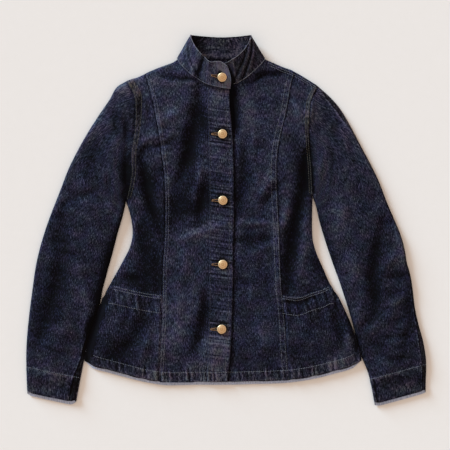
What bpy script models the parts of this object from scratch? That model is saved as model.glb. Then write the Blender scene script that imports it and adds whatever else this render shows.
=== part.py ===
"""Denim jacket laid flat on a table, front up.

A fitted jacket with princess seams, a stand collar, a sewn-on front band with five domed
buttons, two-piece sleeves and a patch pocket over each side front. +X runs to the right of
the jacket as it is looked at, +Y towards the collar, +Z up; the back lies on the plane z = 0
and the origin is on its flat underside, at the middle of the jacket's outline.

The tables and functions work in millimetres; the meshes are written in metres.
"""

import math

import bmesh
import bpy
import numpy as np
from mathutils import Matrix, Vector

MM = 0.001

# ------------------------------------------------------------------ driving sizes, mm
CLOTH = 1.2            # one ply of denim
TWO_PLIES = 2.4        # front band and collar, two plies sewn and turned
SEAM_GAP = 0.3         # between pieces that are sewn edge to edge
SLEEVE_SEAM_GAP = 0.4  # the same along a sleeve, whose seam curves with its edge
ARMHOLE_GAP = 0.5      # the same round the armhole, whose two edges curve
LAY_GAP = 0.35         # between plies that lie on each other

TURN = 6.0             # plan width of the turn where the cloth goes round an outline edge
EDGE_HEIGHT = 3.2      # height of the middle of that turn
END_EDGE_HEIGHT = 2.4  # the same at the hem and at the cuffs
LAID_HEIGHT = 8.4      # outer face of the top layer, away from hem, cuffs and folds
END_HEIGHT = 5.2       # the same at the hem and at the cuffs
END_REACH = 70.0       # how far from hem or cuff the full height is reached
SWELL = 2.6            # more height well inside the outline
SWELL_REACH = 55.0
LOWEST_LAY = 4.4       # deepest that a trough sinks the outer face
FOLDS_AT_END = 0.25    # share of a fold's rise that is left at the hem and at the cuffs
HEM_SHOW = 4.7         # the back and the under sleeves reach this far past the front
HEM_SHOW_RUN = 16.0    # over which that starts beside a side seam

BAND_LIFT = 1.4        # the front band's outer face over the front beside it
STAND_DROP = BAND_LIFT - TWO_PLIES - LAY_GAP   # button stand, under the band
STAND_PAST = 1.5       # it stays under as far as this past the band's edge
STAND_RISE = 13.0      # and comes up again beside the band over this width
HOLLOW_DROP = 3.6      # deeper hollow beside the band, high on the chest
HOLLOW_BESIDE = 5.0    # of its middle, from the band's edge
HOLLOW_WIDTH = 7.0
HOLLOW_Y = 208.0
HOLLOW_LENGTH = 46.0

BUTTON_RADIUS = 8.75
BUTTON_RIM = 1.5
BUTTON_DOME = 2.6
SHANK_RADIUS = 2.4
SEAT_GAP = 0.5         # shank over the ply that it is riveted to
HEAD_GAP = 0.5         # button head over the ply round its buttonhole
HOLE_EYE_RADIUS = 3.3
HOLE_SLOT = 1.8        # width of the buttonhole's straight cut
HOLE_LENGTH = 22.0     # from the button's centre to the end of that cut
DOME_ANGLES = (0.0, 30.0, 58.0, 82.0)
BUTTON_EDGE = 0.6      # rounding under the rim
BUTTON_STEPS = 16
EYE_STEPS = 13
CUT_OVER = 2.4         # cutters start this far over the outer face
BAND_CUT_DEPTH = 4.8   # through the band, above the button stand's own outer face

# ------------------------------------------------------------------ seam lines, mm
# Each row of these tables is one measured place on the line.
ARMHOLE_LEFT = (       # y, x
    (37.0, -191.4), (66.0, -184.6), (87.0, -180.8), (130.0, -180.4), (174.0, -174.2),
    (212.0, -173.0), (240.0, -176.0), (264.6, -189.0),
)
SIDE_LEFT = (          # y, x
    (-268.0, -270.3), (-241.0, -268.2), (-211.0, -260.0), (-187.0, -252.0), (-160.0, -240.8),
    (-123.0, -221.0), (-78.0, -194.5), (-51.0, -181.0), (-30.0, -176.8), (-3.0, -177.0),
    (20.0, -184.0), (37.0, -191.4),
)
ARMHOLE_RIGHT = (      # y, x
    (46.8, 165.0), (70.0, 164.4), (98.0, 163.1), (142.0, 159.3), (178.0, 157.4),
    (208.0, 158.4), (232.0, 162.0), (255.3, 174.3),
)
SIDE_RIGHT = (         # y, x
    (-263.0, 257.0), (-243.0, 252.4), (-217.0, 242.9), (-187.0, 232.0), (-153.0, 216.3),
    (-121.0, 197.7), (-91.0, 184.2), (-65.0, 173.6), (-41.0, 166.2), (-14.0, 164.2),
    (15.0, 164.4), (46.8, 165.0),
)
PRINCESS_LEFT = (      # y, x
    (-312.0, -128.0), (-254.0, -125.0), (-201.0, -122.5), (-131.0, -121.0), (-80.0, -120.0),
    (-41.0, -117.0), (0.0, -116.0), (87.0, -118.0), (152.0, -126.0), (187.0, -131.5),
    (225.0, -139.0), (263.0, -149.0), (282.0, -155.0),
)
PRINCESS_RIGHT = (     # y, x
    (-312.0, 119.5), (-281.0, 117.5), (-227.0, 113.7), (-174.0, 110.5), (-134.0, 106.0),
    (-80.0, 103.0), (-8.0, 100.4), (76.0, 96.6), (110.0, 96.6), (144.0, 100.0),
    (178.0, 107.5), (203.0, 113.5), (229.0, 118.5), (254.0, 122.5), (284.0, 131.0),
)
BAND_SEAM = (          # y, x
    (-312.0, -35.6), (-231.0, -34.5), (-172.0, -32.8), (-96.0, -32.6), (60.0, -32.6),
    (144.0, -33.2), (230.0, -36.0), (264.0, -36.0),
)
BAND_EDGE = (          # y, x
    (-312.0, 2.2), (-269.0, 6.2), (-221.0, 9.6), (-172.0, 11.4), (-115.0, 12.8),
    (-56.0, 13.0), (9.0, 14.8), (60.0, 14.3), (111.0, 14.0), (153.0, 12.4),
    (187.0, 9.6), (229.0, 6.0), (264.0, 6.0),
)
HEM = (                # x, y
    (-272.0, -267.0), (-257.0, -273.7), (-227.0, -282.8), (-196.0, -291.9), (-158.0, -301.0),
    (-128.0, -306.6), (-50.0, -307.4), (2.0, -307.6), (53.0, -305.2), (125.0, -300.9),
    (167.0, -293.6), (208.0, -282.4), (239.0, -272.2), (258.0, -261.7),
)
POCKET_TOP = (         # x, y
    (-219.0, -122.3), (-185.0, -129.9), (-156.0, -136.1), (-121.0, -141.0), (107.0, -141.5),
    (123.0, -144.1), (136.0, -145.0), (147.0, -142.4), (157.0, -138.2), (172.0, -133.3),
    (184.0, -129.7), (198.0, -122.6),
)
SHOULDER_LEFT = (      # x, y
    (-189.0, 264.6), (-172.0, 270.5), (-154.0, 279.0), (-138.0, 286.6), (-125.0, 291.7),
    (-110.0, 297.6), (-100.0, 302.0), (-92.8, 308.0),
)
SHOULDER_RIGHT = (     # x, y
    (73.8, 308.5), (87.0, 301.6), (102.0, 294.6), (128.0, 284.0), (153.0, 269.8),
    (174.3, 255.3),
)
NECK_LEFT = (          # x, y
    (-92.8, 308.0), (-85.6, 295.7), (-69.4, 279.8), (-50.8, 266.5), (-36.2, 259.4),
    (-12.3, 253.2), (7.1, 249.8),
)
NECK_RIGHT = (         # x, y
    (-36.0, 250.0), (7.0, 255.0), (21.0, 259.5), (30.5, 265.5), (43.8, 275.8),
    (57.1, 287.8), (68.0, 300.4), (73.8, 308.5),
)
BACK_NECK = (          # x, y
    (-92.8, 308.0), (-60.0, 308.5), (-8.0, 308.0), (40.0, 308.5), (73.8, 308.5),
)
BAND_TOP = (           # x, y
    (-37.0, 262.5), (-29.0, 259.6), (-20.0, 256.4), (-13.0, 254.6), (-6.0, 253.4), (8.0, 252.0),
)
NECK_TUCK = 5.0        # seam allowance of the fronts that is caught inside the collar
NECK_TUCK_RUN = 12.0   # over which that allowance starts at the end of a shoulder

# Sleeve edges run from the shoulder or underarm to the cuff.
OUTER_LEFT = (         # x, y
    (-189.0, 264.6), (-206.6, 253.9), (-221.8, 231.1), (-243.7, 200.5), (-263.2, 170.0),
    (-283.0, 135.2), (-300.5, 98.1), (-315.7, 58.8), (-338.5, -0.7), (-351.8, -38.1),
    (-362.4, -80.5), (-370.4, -134.0), (-377.1, -187.4), (-381.6, -243.3), (-381.8, -280.7),
    (-379.7, -325.9),
)
INNER_LEFT = (         # x, y
    (-191.4, 37.0), (-197.9, 10.7), (-208.7, -21.9), (-218.4, -62.0), (-229.0, -99.5),
    (-237.0, -131.4), (-243.4, -160.6), (-253.0, -187.4), (-261.0, -211.4), (-269.1, -240.6),
    (-272.6, -261.9), (-277.1, -291.4), (-285.1, -337.6),
)
OUTER_RIGHT = (        # x, y
    (174.3, 255.3), (195.4, 237.4), (212.5, 220.5), (236.1, 183.1), (255.6, 146.0),
    (273.1, 113.3), (292.3, 74.0), (305.6, 39.2), (320.2, 4.7), (333.5, -27.3),
    (341.0, -53.9), (344.4, -80.5), (350.8, -104.8), (355.0, -131.4), (360.1, -168.6),
    (368.3, -200.7), (376.3, -230.0), (381.6, -262.1), (381.0, -317.0),
)
INNER_RIGHT = (        # x, y
    (165.0, 46.8), (170.5, 32.0), (178.9, -0.7), (192.4, -40.6), (205.7, -80.7),
    (219.0, -118.1), (230.9, -158.0), (241.6, -200.7), (250.9, -232.7), (258.6, -256.6),
    (269.5, -286.0), (277.5, -315.3), (282.8, -343.6),
)
# A sleeve's sections run from its outer edge to its inner one and fan out round the underarm.
SECTIONS = (           # share of the outer edge, share of the inner edge
    (0.0, 0.0), (0.17, 0.03), (0.33, 0.065), (0.45, 0.2), (0.6, 0.41), (0.8, 0.705), (1.0, 1.0),
)
BODY_EDGE_STEPS = 60
SLEEVE_EDGE_STEPS = 130
PAST_CUFF = 3.0        # steps of a sleeve edge that are added past the cuff
CAP_SHARE = 0.3        # of the outer edge, over which sections take up the armhole's curve
# How far a sleeve seam lies inside the outline, on top, from the armhole to the cuff.
SEAM_IN_LEFT = (       # share of the outer edge, inset
    (0.0, 2.4), (0.74, 2.4), (0.83, 5.5), (0.88, 10.2), (0.95, 12.5), (1.0, 12.5),
)
SEAM_IN_RIGHT = (      # share of the outer edge, inset
    (0.0, 1.0), (0.04, 6.0), (0.08, 8.4), (0.12, 7.4), (0.17, 2.4), (0.78, 2.4),
    (0.86, 8.6), (0.92, 8.8), (1.0, 5.5),
)

UNDERARM_LEFT = (SIDE_LEFT[-1][1], SIDE_LEFT[-1][0])
UNDERARM_RIGHT = (SIDE_RIGHT[-1][1], SIDE_RIGHT[-1][0])

# ------------------------------------------------------------------ folds, mm
# A row is one soft ridge (+) or trough (-), along a bow through three places.
FOLDS = (              # rise, half width, start x, y, middle x, y, end x, y
    (-4.6, 11.0, -48, 239, -57, 172, -76, 85),        # chest, beside the band
    (-4.2, 9.0, -154, 134, -145, 58, -122, -22),      # curve below the left armhole
    (2.4, 8.0, -110, 172, -135, 165, -158, 134),
    (3.0, 8.0, -169, 134, -165, 80, -160, 40),
    (-3.0, 12.0, -135, -46, -130, -94, -129, -128),   # left waist to hip
    (-3.0, 8.0, -40, 62, -42, 38, -44, 11),
    (-2.5, 8.0, -91, -3, -59, 1, -36, 11),
    (2.6, 7.0, -84, -44, -36, -22, 3, -10),           # pull at the waist button
    (-3.6, 8.0, -33, -172, -52, -221, -80, -261),     # drape below the band
    (2.0, 12.0, -78, -189, -92, -220, -103, -246),
    (-4.0, 10.0, -145, -154, -166, -204, -202, -250),  # left hip flare
    (3.0, 9.0, -145, -208, -157, -234, -169, -259),
    (-2.4, 6.0, -192, -103, -178, -106, -164, -109),
    (-5.4, 11.0, 159, 106, 140, 30, 119, -46),        # right side, armhole to waist
    (-4.4, 10.0, 119, -46, 115, -90, 116, -128),
    (2.5, 8.0, 102, 11, 101, -22, 100, -56),
    (2.6, 9.0, 152, -8, 150, -44, 146, -79),
    (-3.0, 9.0, 30, 144, 36, 87, 26, 30),             # right front beside the band
    (-2.0, 8.0, 108, 77, 92, 58, 74, 39),
    (-2.0, 8.0, 22, -25, 55, -23, 87, -18),
    (1.5, 6.0, 26, -3, 55, -4, 83, -3),
    (1.6, 14.0, 68, -85, 58, -128, 45, -172),
    (-3.0, 6.0, -110, 273, -74, 269, -44, 262),       # under the collar, left and right
    (-3.2, 7.0, 42, 263, 74, 275, 112, 281),
    (-2.0, 6.0, -164, 248, -168, 227, -171, 206),
    (2.5, 6.0, 154, 240, 151, 218, 148, 195),         # right armhole front
    (-2.0, 6.0, 136, 240, 139, 222, 141, 205),
    (-4.0, 9.0, -186, 153, -188, 96, -190, 43),       # left sleeve head, towards the underarm
    (3.0, 9.0, 180, 134, 178, 98, 175, 62),           # right sleeve head
    (-2.5, 8.0, -316, 11, -302, 25, -287, 39),
    (-2.0, 14.0, -268, 140, -268, 105, -268, 70),
    (-4.0, 10.0, -291, -60, -320, -136, -352, -219),  # left forearm
    (2.6, 12.0, -262, -79, -293, -147, -323, -227),
    (-4.0, 11.0, 307, -3, 277, -71, 273, -185),       # right elbow
    (3.4, 9.0, 338, -117, 302, -166, 266, -215),
    (2.0, 7.0, 317, -67, 326, -73, 334, -79),
    (2.5, 11.0, 207, 30, 228, -46, 239, -122),
    (-2.0, 6.0, 277, -242, 308, -237, 340, -232),
    (-2.6, 5.5, 116, -153, 140, -154, 165, -146),     # right pocket mouth
    (-3.0, 7.0, 226, -179, 222, -208, 216, -236),     # right hip flare
    (2.0, 8.0, 235, -220, 238, -236, 240, -252),
)

FOLD_STEPS = 9         # places along the bow of a fold

# Stations round the collar, from the tab's end by the left, the back and the right
# to the end that lies under the tab.
COLLAR_STATIONS = (    # bottom x, y, z, top x, y, z, bow to the right
    (7.6, 250.0, 16.8, 1.0, 293.5, 23.0, 4.4),
    (-3.0, 251.2, 17.0, -9.0, 300.6, 23.4, 1.6),
    (-14.0, 253.2, 17.0, -19.0, 301.8, 23.8, 0.0),
    (-36.2, 259.1, 16.4, -30.5, 300.9, 24.6, 0.0),
    (-50.8, 266.5, 15.4, -42.9, 311.6, 24.6, 0.0),
    (-69.4, 279.8, 14.4, -56.0, 326.2, 23.6, 0.0),
    (-85.6, 295.7, 12.8, -64.6, 342.0, 21.0, 0.0),
    (-93.4, 308.6, 8.4, -67.4, 351.4, 15.6, 0.0),
    (-88.0, 310.8, 3.8, -63.0, 351.8, 9.0, 0.0),
    (-62.0, 309.4, 0.6, -38.0, 349.6, 5.6, 0.0),
    (-8.0, 308.9, 0.5, -9.0, 348.0, 5.0, 0.0),
    (44.0, 309.4, 0.6, 22.0, 349.6, 5.6, 0.0),
    (68.0, 310.8, 3.8, 43.0, 351.8, 9.0, 0.0),
    (74.2, 308.6, 8.4, 47.0, 350.8, 15.2, 0.0),
    (70.0, 301.0, 12.4, 45.6, 344.4, 19.4, 0.0),
    (57.1, 287.8, 13.8, 37.2, 329.2, 21.6, 0.0),
    (43.8, 275.8, 14.0, 25.2, 315.7, 21.4, 0.0),
    (30.5, 266.5, 14.0, 11.7, 306.4, 20.8, 0.0),
    (18.0, 260.4, 13.8, -3.5, 298.4, 20.0, 0.0),
    (-6.0, 255.2, 13.2, -26.0, 297.0, 19.4, 0.0),
)
COLLAR_STEPS = 46
COLLAR_ROWS = 4
FRAME_STEP = 0.01               # share of the collar over which its directions are taken
TAB_BUTTON = (0.066, 0.42)      # share round the collar and share of its height
END_UNDER_BUTTON = (0.975, 0.42)
TAB_CUT_DEPTH = 2.9             # through the tab, not into the end that lies under it

BAND_BUTTONS = (       # x, y
    (-6.9, 164.8),
    (-6.2, 38.5),
    (-6.4, -83.3),
    (-8.5, -206.4),
)

# ------------------------------------------------------------------ grids
EDGE_INSETS = (0.0, 1.5, 6.0)   # columns on the turn at an outline edge
HEM_ROWS = 8                    # hem to pocket mouth
WAIST_ROWS = 8                  # pocket mouth to underarm
CHEST_ROWS = 9                  # underarm to shoulder
SIDE_COLUMNS = 6
FRONT_COLUMNS = 6
BAND_COLUMNS = 4
MEETING_STEPS = 6               # to find where a column crosses a line
STAND_SKIP = 1                  # band columns that the button stand doesn't reach
BACK_COLUMNS = 10
SLEEVE_ROWS = 24
EDGE_STEP = 0.01                # share of a sleeve edge over which its direction is taken
SEAM_COLUMN = 4.5               # from an upper sleeve's seam to its next column
OVER_COLUMN = 0.6               # place of the under sleeve's column between edge and seam
SHARP_ANGLE = math.radians(50.0)


# ------------------------------------------------------------------ curves
def through(table, at):
    """Smooth value at the places asked, through the rows (place, value) of a table."""
    places, values = np.array(table, float).T
    slopes = np.gradient(values, places)
    at = np.clip(np.asarray(at, float), places[0], places[-1])
    k = np.clip(np.searchsorted(places, at) - 1, 0, len(places) - 2)
    step = places[k + 1] - places[k]
    s = (at - places[k]) / step
    start = (1 + 2 * s) * (1 - s) ** 2 * values[k] + s * (1 - s) ** 2 * step * slopes[k]
    end = s * s * (3 - 2 * s) * values[k + 1] - s * s * (1 - s) * step * slopes[k + 1]
    return start + end


def along(points, shares):
    """Places at the given shares of the length of a smooth line through the points."""
    points = np.array(points, float)
    lengths = np.hypot(*np.diff(points, axis=0).T)
    travelled = np.concatenate(([0.0], np.cumsum(lengths))) / lengths.sum()
    columns = [through(np.column_stack((travelled, column)), shares) for column in points.T]
    return np.stack(columns, axis=-1)


def smooth_step(value, reach):
    """0 at zero, 1 from reach on, with a soft start and end."""
    s = np.clip(value / reach, 0.0, 1.0)
    return s * s * (3 - 2 * s)


def left_line(y):
    """Left edge of the body: side seam below the underarm, armhole above it."""
    return np.where(y < SIDE_LEFT[-1][0], through(SIDE_LEFT, y), through(ARMHOLE_LEFT, y))


def right_line(y):
    """Right edge of the body."""
    return np.where(y < SIDE_RIGHT[-1][0], through(SIDE_RIGHT, y), through(ARMHOLE_RIGHT, y))


def front_top(x):
    """Upper edge of the fronts: shoulder seams, and the neck with its tuck."""
    left_tuck = NECK_TUCK * smooth_step(x - NECK_LEFT[0][0], NECK_TUCK_RUN)
    right_tuck = NECK_TUCK * smooth_step(NECK_RIGHT[-1][0] - x, NECK_TUCK_RUN)
    left = np.where(x < NECK_LEFT[0][0], through(SHOULDER_LEFT, x),
                    through(NECK_LEFT, x) + left_tuck)
    right = np.where(x > NECK_RIGHT[-1][0], through(SHOULDER_RIGHT, x),
                     through(NECK_RIGHT, x) + right_tuck)
    return np.where(x < NECK_RIGHT[0][0], left, right)


def back_top(x):
    """Upper edge of the back: shoulder seams and back neck."""
    neck = np.where(x < BACK_NECK[0][0], through(SHOULDER_LEFT, x), through(BACK_NECK, x))
    return np.where(x > BACK_NECK[-1][0], through(SHOULDER_RIGHT, x), neck)


# ------------------------------------------------------------------ how the cloth lies
def edge_of(places):
    """An outline edge as a chain of short straight runs, with the cloth on its left."""
    places = np.array(places, float)
    return places[:-1], places[1:]


def traced(line, start, end):
    """Chain along x = line(y)."""
    y = np.linspace(start, end, BODY_EDGE_STEPS)
    return edge_of(np.column_stack((line(y), y)))


def traced_top(table):
    """Chain along y = table(x), from right to left."""
    x = np.linspace(table[-1][0], table[0][0], BODY_EDGE_STEPS)
    return edge_of(np.column_stack((x, through(table, x))))


def sleeve_edge(table):
    """Places along a sleeve edge, carried on straight a little past the cuff."""
    places = along(table, np.linspace(0.0, 1.0, SLEEVE_EDGE_STEPS))
    return np.vstack((places, places[-1] + PAST_CUFF * (places[-1] - places[-2])))


BODY_LEFT_EDGES = (
    traced_top(SHOULDER_LEFT),
    traced(left_line, SIDE_LEFT[-1][0], SIDE_LEFT[0][0]),
)
BODY_RIGHT_EDGES = (
    traced_top(SHOULDER_RIGHT),
    traced(right_line, SIDE_RIGHT[0][0], SIDE_RIGHT[-1][0]),
)
SLEEVE_LEFT_EDGES = (
    edge_of(sleeve_edge(OUTER_LEFT)),
    edge_of(sleeve_edge(INNER_LEFT)[::-1]),
)
SLEEVE_RIGHT_EDGES = (
    edge_of(sleeve_edge(OUTER_RIGHT)[::-1]),
    edge_of(sleeve_edge(INNER_RIGHT)),
)
BODY_EDGES = BODY_LEFT_EDGES + BODY_RIGHT_EDGES
ALL_EDGES = BODY_EDGES + SLEEVE_LEFT_EDGES + SLEEVE_RIGHT_EDGES
OPEN_ENDS = (
    edge_of(np.array(HEM)),
    edge_of((OUTER_LEFT[-1], INNER_LEFT[-1])),
    edge_of((INNER_RIGHT[-1], OUTER_RIGHT[-1])),
)


def nearest(x, y, edges):
    """Plan distance to the nearest of the edges, and the unit direction square to it."""
    place = np.stack((np.ravel(x), np.ravel(y)), axis=-1)
    distance = np.full(len(place), np.inf)
    away = np.zeros_like(place)
    for start, end in edges:
        run = end - start
        square = (run ** 2).sum(axis=1)
        share = ((place[:, None] - start) * run).sum(axis=2) / square
        foot = start + np.clip(share, 0.0, 1.0)[..., None] * run
        offset = place[:, None] - foot
        reach = np.hypot(offset[..., 0], offset[..., 1])
        k = reach.argmin(axis=1)
        closest = reach.min(axis=1)
        leftward = np.column_stack((-run[k, 1], run[k, 0])) / np.sqrt(square[k])[:, None]
        nearer = closest < distance
        distance = np.where(nearer, closest, distance)
        away = np.where(nearer[:, None], leftward, away)
    shape = np.shape(x)
    return distance.reshape(shape), away[:, 0].reshape(shape), away[:, 1].reshape(shape)


def fold_height(x, y):
    """Sum of the soft ridges and troughs."""
    height = np.zeros(np.shape(x))
    shares = np.linspace(0.0, 1.0, FOLD_STEPS)
    for rise, width, *places in FOLDS:
        start, middle, end = np.array(places, float).reshape(3, 2)
        bend = 2 * middle - (start + end) / 2
        bow = (np.outer((1 - shares) ** 2, start) + np.outer(2 * shares * (1 - shares), bend)
               + np.outer(shares ** 2, end))
        distance, _, _ = nearest(x, y, (edge_of(bow),))
        height += rise * np.exp(-(distance / width) ** 2)
    return height


def lie(x, y):
    """Height of the top layer's outer face away from the outline."""
    to_edge, _, _ = nearest(x, y, ALL_EDGES)
    to_end, _, _ = nearest(x, y, OPEN_ENDS)
    open_up = smooth_step(to_end, END_REACH)
    raised = LAID_HEIGHT - END_HEIGHT + SWELL * smooth_step(to_edge, SWELL_REACH)
    folds = fold_height(x, y) * (FOLDS_AT_END + (1 - FOLDS_AT_END) * open_up)
    return np.maximum(END_HEIGHT + raised * open_up + folds, LOWEST_LAY)


def skin(x, y, side, edges, lift=0.0, wall=CLOTH):
    """Outer and inner points of a ply, on the top layer (side 1) or the bottom one (-1).

    At an outline edge the ply turns round through half a circle, whose middle height the
    two layers share; lift moves the ply out from the layer's own face.
    """
    x, y = np.broadcast_arrays(np.asarray(x, float), np.asarray(y, float))
    _, away_x, away_y = nearest(x, y, edges)
    to_edge, _, _ = nearest(x, y, ALL_EDGES)
    to_end, _, _ = nearest(x, y, OPEN_ENDS)
    middle = END_EDGE_HEIGHT + (EDGE_HEIGHT - END_EDGE_HEIGHT) * smooth_step(to_end, END_REACH)
    lean = np.clip(1 - to_edge / TURN, 0.0, 1.0)
    rise = np.sqrt(1 - lean ** 2)
    span = np.where(side > 0, lie(x, y) - middle, middle)
    height = middle + side * np.maximum(rise * span, SEAM_GAP / 2)

    def moved(out):
        return np.stack((x - out * lean * away_x, y - out * lean * away_y,
                         height + side * out * rise), axis=-1)

    return moved(lift), moved(lift - wall)


# ------------------------------------------------------------------ materials and meshes
def principled(name, colour, roughness, metallic):
    material = bpy.data.materials.new(name)
    material.use_nodes = True
    shader = material.node_tree.nodes["Principled BSDF"]
    shader.inputs["Base Color"].default_value = (*colour, 1.0)
    shader.inputs["Roughness"].default_value = roughness
    shader.inputs["Metallic"].default_value = metallic
    material.diffuse_color = (*colour, 1.0)
    return material


def denim(name, shade=1.0):
    """Dark rinsed indigo denim."""
    return principled(name, (0.019 * shade, 0.021 * shade, 0.038 * shade), 0.9, 0.0)


def add_object(name, bm, material, collection):
    bm.normal_update()
    mesh = bpy.data.meshes.new(name)
    bm.to_mesh(mesh)
    bm.free()
    mesh.materials.append(material)
    piece = bpy.data.objects.new(name, mesh)
    collection.objects.link(piece)
    return piece


def set_place(bm, points):
    """Moves the vertices that carry a place number to those points, mm to m."""
    place = bm.verts.layers.int["place"]
    flat = np.asarray(points, float).reshape(-1, 3) * MM
    for vertex in bm.verts:
        vertex.co = Vector(flat[vertex[place]])


def cloth_grid(rows, columns, split="FIXED"):
    """Flat triangulated grid; a layer numbers its vertices row by row."""
    bm = bmesh.new()
    place = bm.verts.layers.int.new("place")
    bmesh.ops.create_grid(bm, x_segments=columns - 1, y_segments=rows - 1, size=1.0)
    for number, vertex in enumerate(bm.verts):
        vertex[place] = number
    bmesh.ops.triangulate(bm, faces=bm.faces[:], quad_method=split)
    return bm


def cloth_piece(name, outer, inner, material, collection, split="FIXED"):
    """One ply as a closed wall between its outer and inner points (rows x columns x 3)."""
    rows, columns = outer.shape[:2]
    bm = cloth_grid(rows, columns, split)
    set_place(bm, outer)
    grown = bmesh.ops.extrude_face_region(bm, geom=bm.faces[:], use_keep_orig=True)
    place = bm.verts.layers.int["place"]
    flat = inner.reshape(-1, 3) * MM
    for vertex in (item for item in grown["geom"] if isinstance(item, bmesh.types.BMVert)):
        vertex.co = Vector(flat[vertex[place]])
    bmesh.ops.recalc_face_normals(bm, faces=bm.faces[:])
    piece = add_object(name, bm, material, collection)
    piece.data.shade_smooth()
    piece.data.set_sharp_from_angle(angle=SHARP_ANGLE)
    return piece


# ------------------------------------------------------------------ body panels
def princess_left(y):
    return through(PRINCESS_LEFT, y)


def princess_right(y):
    return through(PRINCESS_RIGHT, y)


def band_seam(y):
    return through(BAND_SEAM, y)


def band_edge(y):
    return through(BAND_EDGE, y)


def band_top(x):
    return through(BAND_TOP, x)


def meeting(column_x, line, y):
    """Height in plan at which a column crosses a line y = line(x)."""
    for _ in range(MEETING_STEPS):
        y = line(column_x(y))
    return y


def levels(column_x, top):
    """Rows of a body column, from the hem over the pocket mouth and underarm to the top."""
    hem = meeting(column_x, lambda x: through(HEM, x), HEM[0][1])
    pocket = meeting(column_x, lambda x: through(POCKET_TOP, x), POCKET_TOP[0][1])
    underarm = np.interp(column_x(UNDERARM_LEFT[1]), (UNDERARM_LEFT[0], UNDERARM_RIGHT[0]),
                         (UNDERARM_LEFT[1], UNDERARM_RIGHT[1]))
    end = meeting(column_x, top, SHOULDER_LEFT[0][1])
    last = end - EDGE_INSETS[-1]
    rows = [hem + (pocket - hem) * s for s in np.arange(HEM_ROWS) / HEM_ROWS]
    rows += [pocket + (underarm - pocket) * s for s in np.arange(WAIST_ROWS) / WAIST_ROWS]
    rows += [underarm + (last - underarm) * s for s in np.arange(CHEST_ROWS) / CHEST_ROWS]
    rows += [end - inset for inset in EDGE_INSETS[::-1]]
    return np.array(rows)


def body_grid(from_line, to_line, columns, top):
    """Plan places of a panel between two lines; a column is (share across, inset in +X)."""
    all_x = []
    all_y = []
    for share, inset in columns:
        def column_x(y, share=share, inset=inset):
            return from_line(y) * (1 - share) + to_line(y) * share + inset

        rows_y = levels(column_x, top)
        all_y.append(rows_y)
        all_x.append(column_x(rows_y))
    return np.stack(all_x, axis=1), np.stack(all_y, axis=1)


def part_shares(count, inset_from, inset_to):
    """Even columns whose ends stand in from the two lines."""
    return [(share, inset_from * (1 - share) - inset_to * share)
            for share in np.linspace(0.0, 1.0, count + 1)]


def off_armhole(x, column, shift):
    """Moves one column off the armhole line, above the underarm."""
    above = np.arange(len(x)) > HEM_ROWS + WAIST_ROWS
    x[above, column] += shift
    return x


def side_front_grid(line, princess, sign):
    """Side front from its outline edge (sign 1 on the left, -1 on the right) to the seam."""
    turn = EDGE_INSETS[-1]
    columns = [(0.0, sign * inset) for inset in EDGE_INSETS[:-1]]
    columns += [(share, sign * inset)
                for share, inset in part_shares(SIDE_COLUMNS, turn, SEAM_GAP / 2)]
    x, y = body_grid(line, princess, columns, front_top)
    return off_armhole(x, 0, sign * ARMHOLE_GAP / 2), y


def stand_lift(x, y):
    """The right front runs under the band and comes up again beside it."""
    beside = x - band_edge(y)
    under = 1 - smooth_step(beside - STAND_PAST, STAND_RISE)
    along_band = (y - HOLLOW_Y) / HOLLOW_LENGTH
    off_band = (beside - HOLLOW_BESIDE) / HOLLOW_WIDTH
    return STAND_DROP * under - HOLLOW_DROP * np.exp(-along_band ** 2 - off_band ** 2)


def build_fronts(collection):
    sides = (
        ("left", left_line, princess_left, 1, BODY_LEFT_EDGES, "FIXED"),
        ("right", right_line, princess_right, -1, BODY_RIGHT_EDGES, "ALTERNATE"),
    )
    for side, line, princess, sign, edges, split in sides:
        x, y = side_front_grid(line, princess, sign)
        cloth_piece(f"side_front_{side}", *skin(x, y, 1, edges),
                    denim(f"side_front_{side}_denim"), collection, split)
        mouth = slice(0, HEM_ROWS + 1)
        pocket = skin(x[mouth, 1:], y[mouth, 1:], 1, edges, lift=CLOTH + LAY_GAP)
        cloth_piece(f"pocket_{side}", *pocket, denim(f"pocket_{side}_denim", 1.1), collection, split)

    columns = part_shares(FRONT_COLUMNS, SEAM_GAP / 2, SEAM_GAP / 2)
    x, y = body_grid(princess_left, band_seam, columns, front_top)
    cloth_piece("front_left", *skin(x, y, 1, BODY_LEFT_EDGES), denim("front_left_denim"), collection)

    band_columns = part_shares(BAND_COLUMNS, SEAM_GAP / 2, 0.0)
    x, y = body_grid(band_seam, band_edge, band_columns, band_top)
    band = cloth_piece("front_band", *skin(x, y, 1, BODY_EDGES, BAND_LIFT, TWO_PLIES),
                       denim("front_band_denim", 1.15), collection)

    stand_x, stand_y = body_grid(band_seam, band_edge, band_columns[STAND_SKIP:], front_top)
    open_columns = part_shares(FRONT_COLUMNS + 1, 0.0, SEAM_GAP / 2)[1:]
    open_x, open_y = body_grid(band_edge, princess_right, open_columns, front_top)
    x = np.concatenate((stand_x, open_x), axis=1)
    y = np.concatenate((stand_y, open_y), axis=1)
    cloth_piece("front_right", *skin(x, y, 1, BODY_RIGHT_EDGES, lift=stand_lift(x, y)),
                denim("front_right_denim"), collection)
    return band


def build_back(collection):
    turn = EDGE_INSETS[-1]
    columns = [(0.0, inset) for inset in EDGE_INSETS[:-1]]
    columns += part_shares(BACK_COLUMNS, turn, turn)
    columns += [(1.0, -inset) for inset in EDGE_INSETS[-2::-1]]
    x, y = body_grid(left_line, right_line, columns, back_top)
    x = off_armhole(x, 0, ARMHOLE_GAP / 2)
    x = off_armhole(x, -1, -ARMHOLE_GAP / 2)
    from_corner = np.minimum(x[0] - x[0, 0], x[0, -1] - x[0])
    y[0] -= HEM_SHOW * smooth_step(from_corner, HEM_SHOW_RUN)
    cloth_piece("back", *skin(x, y, -1, BODY_EDGES), denim("back_denim", 1.3), collection)


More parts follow.
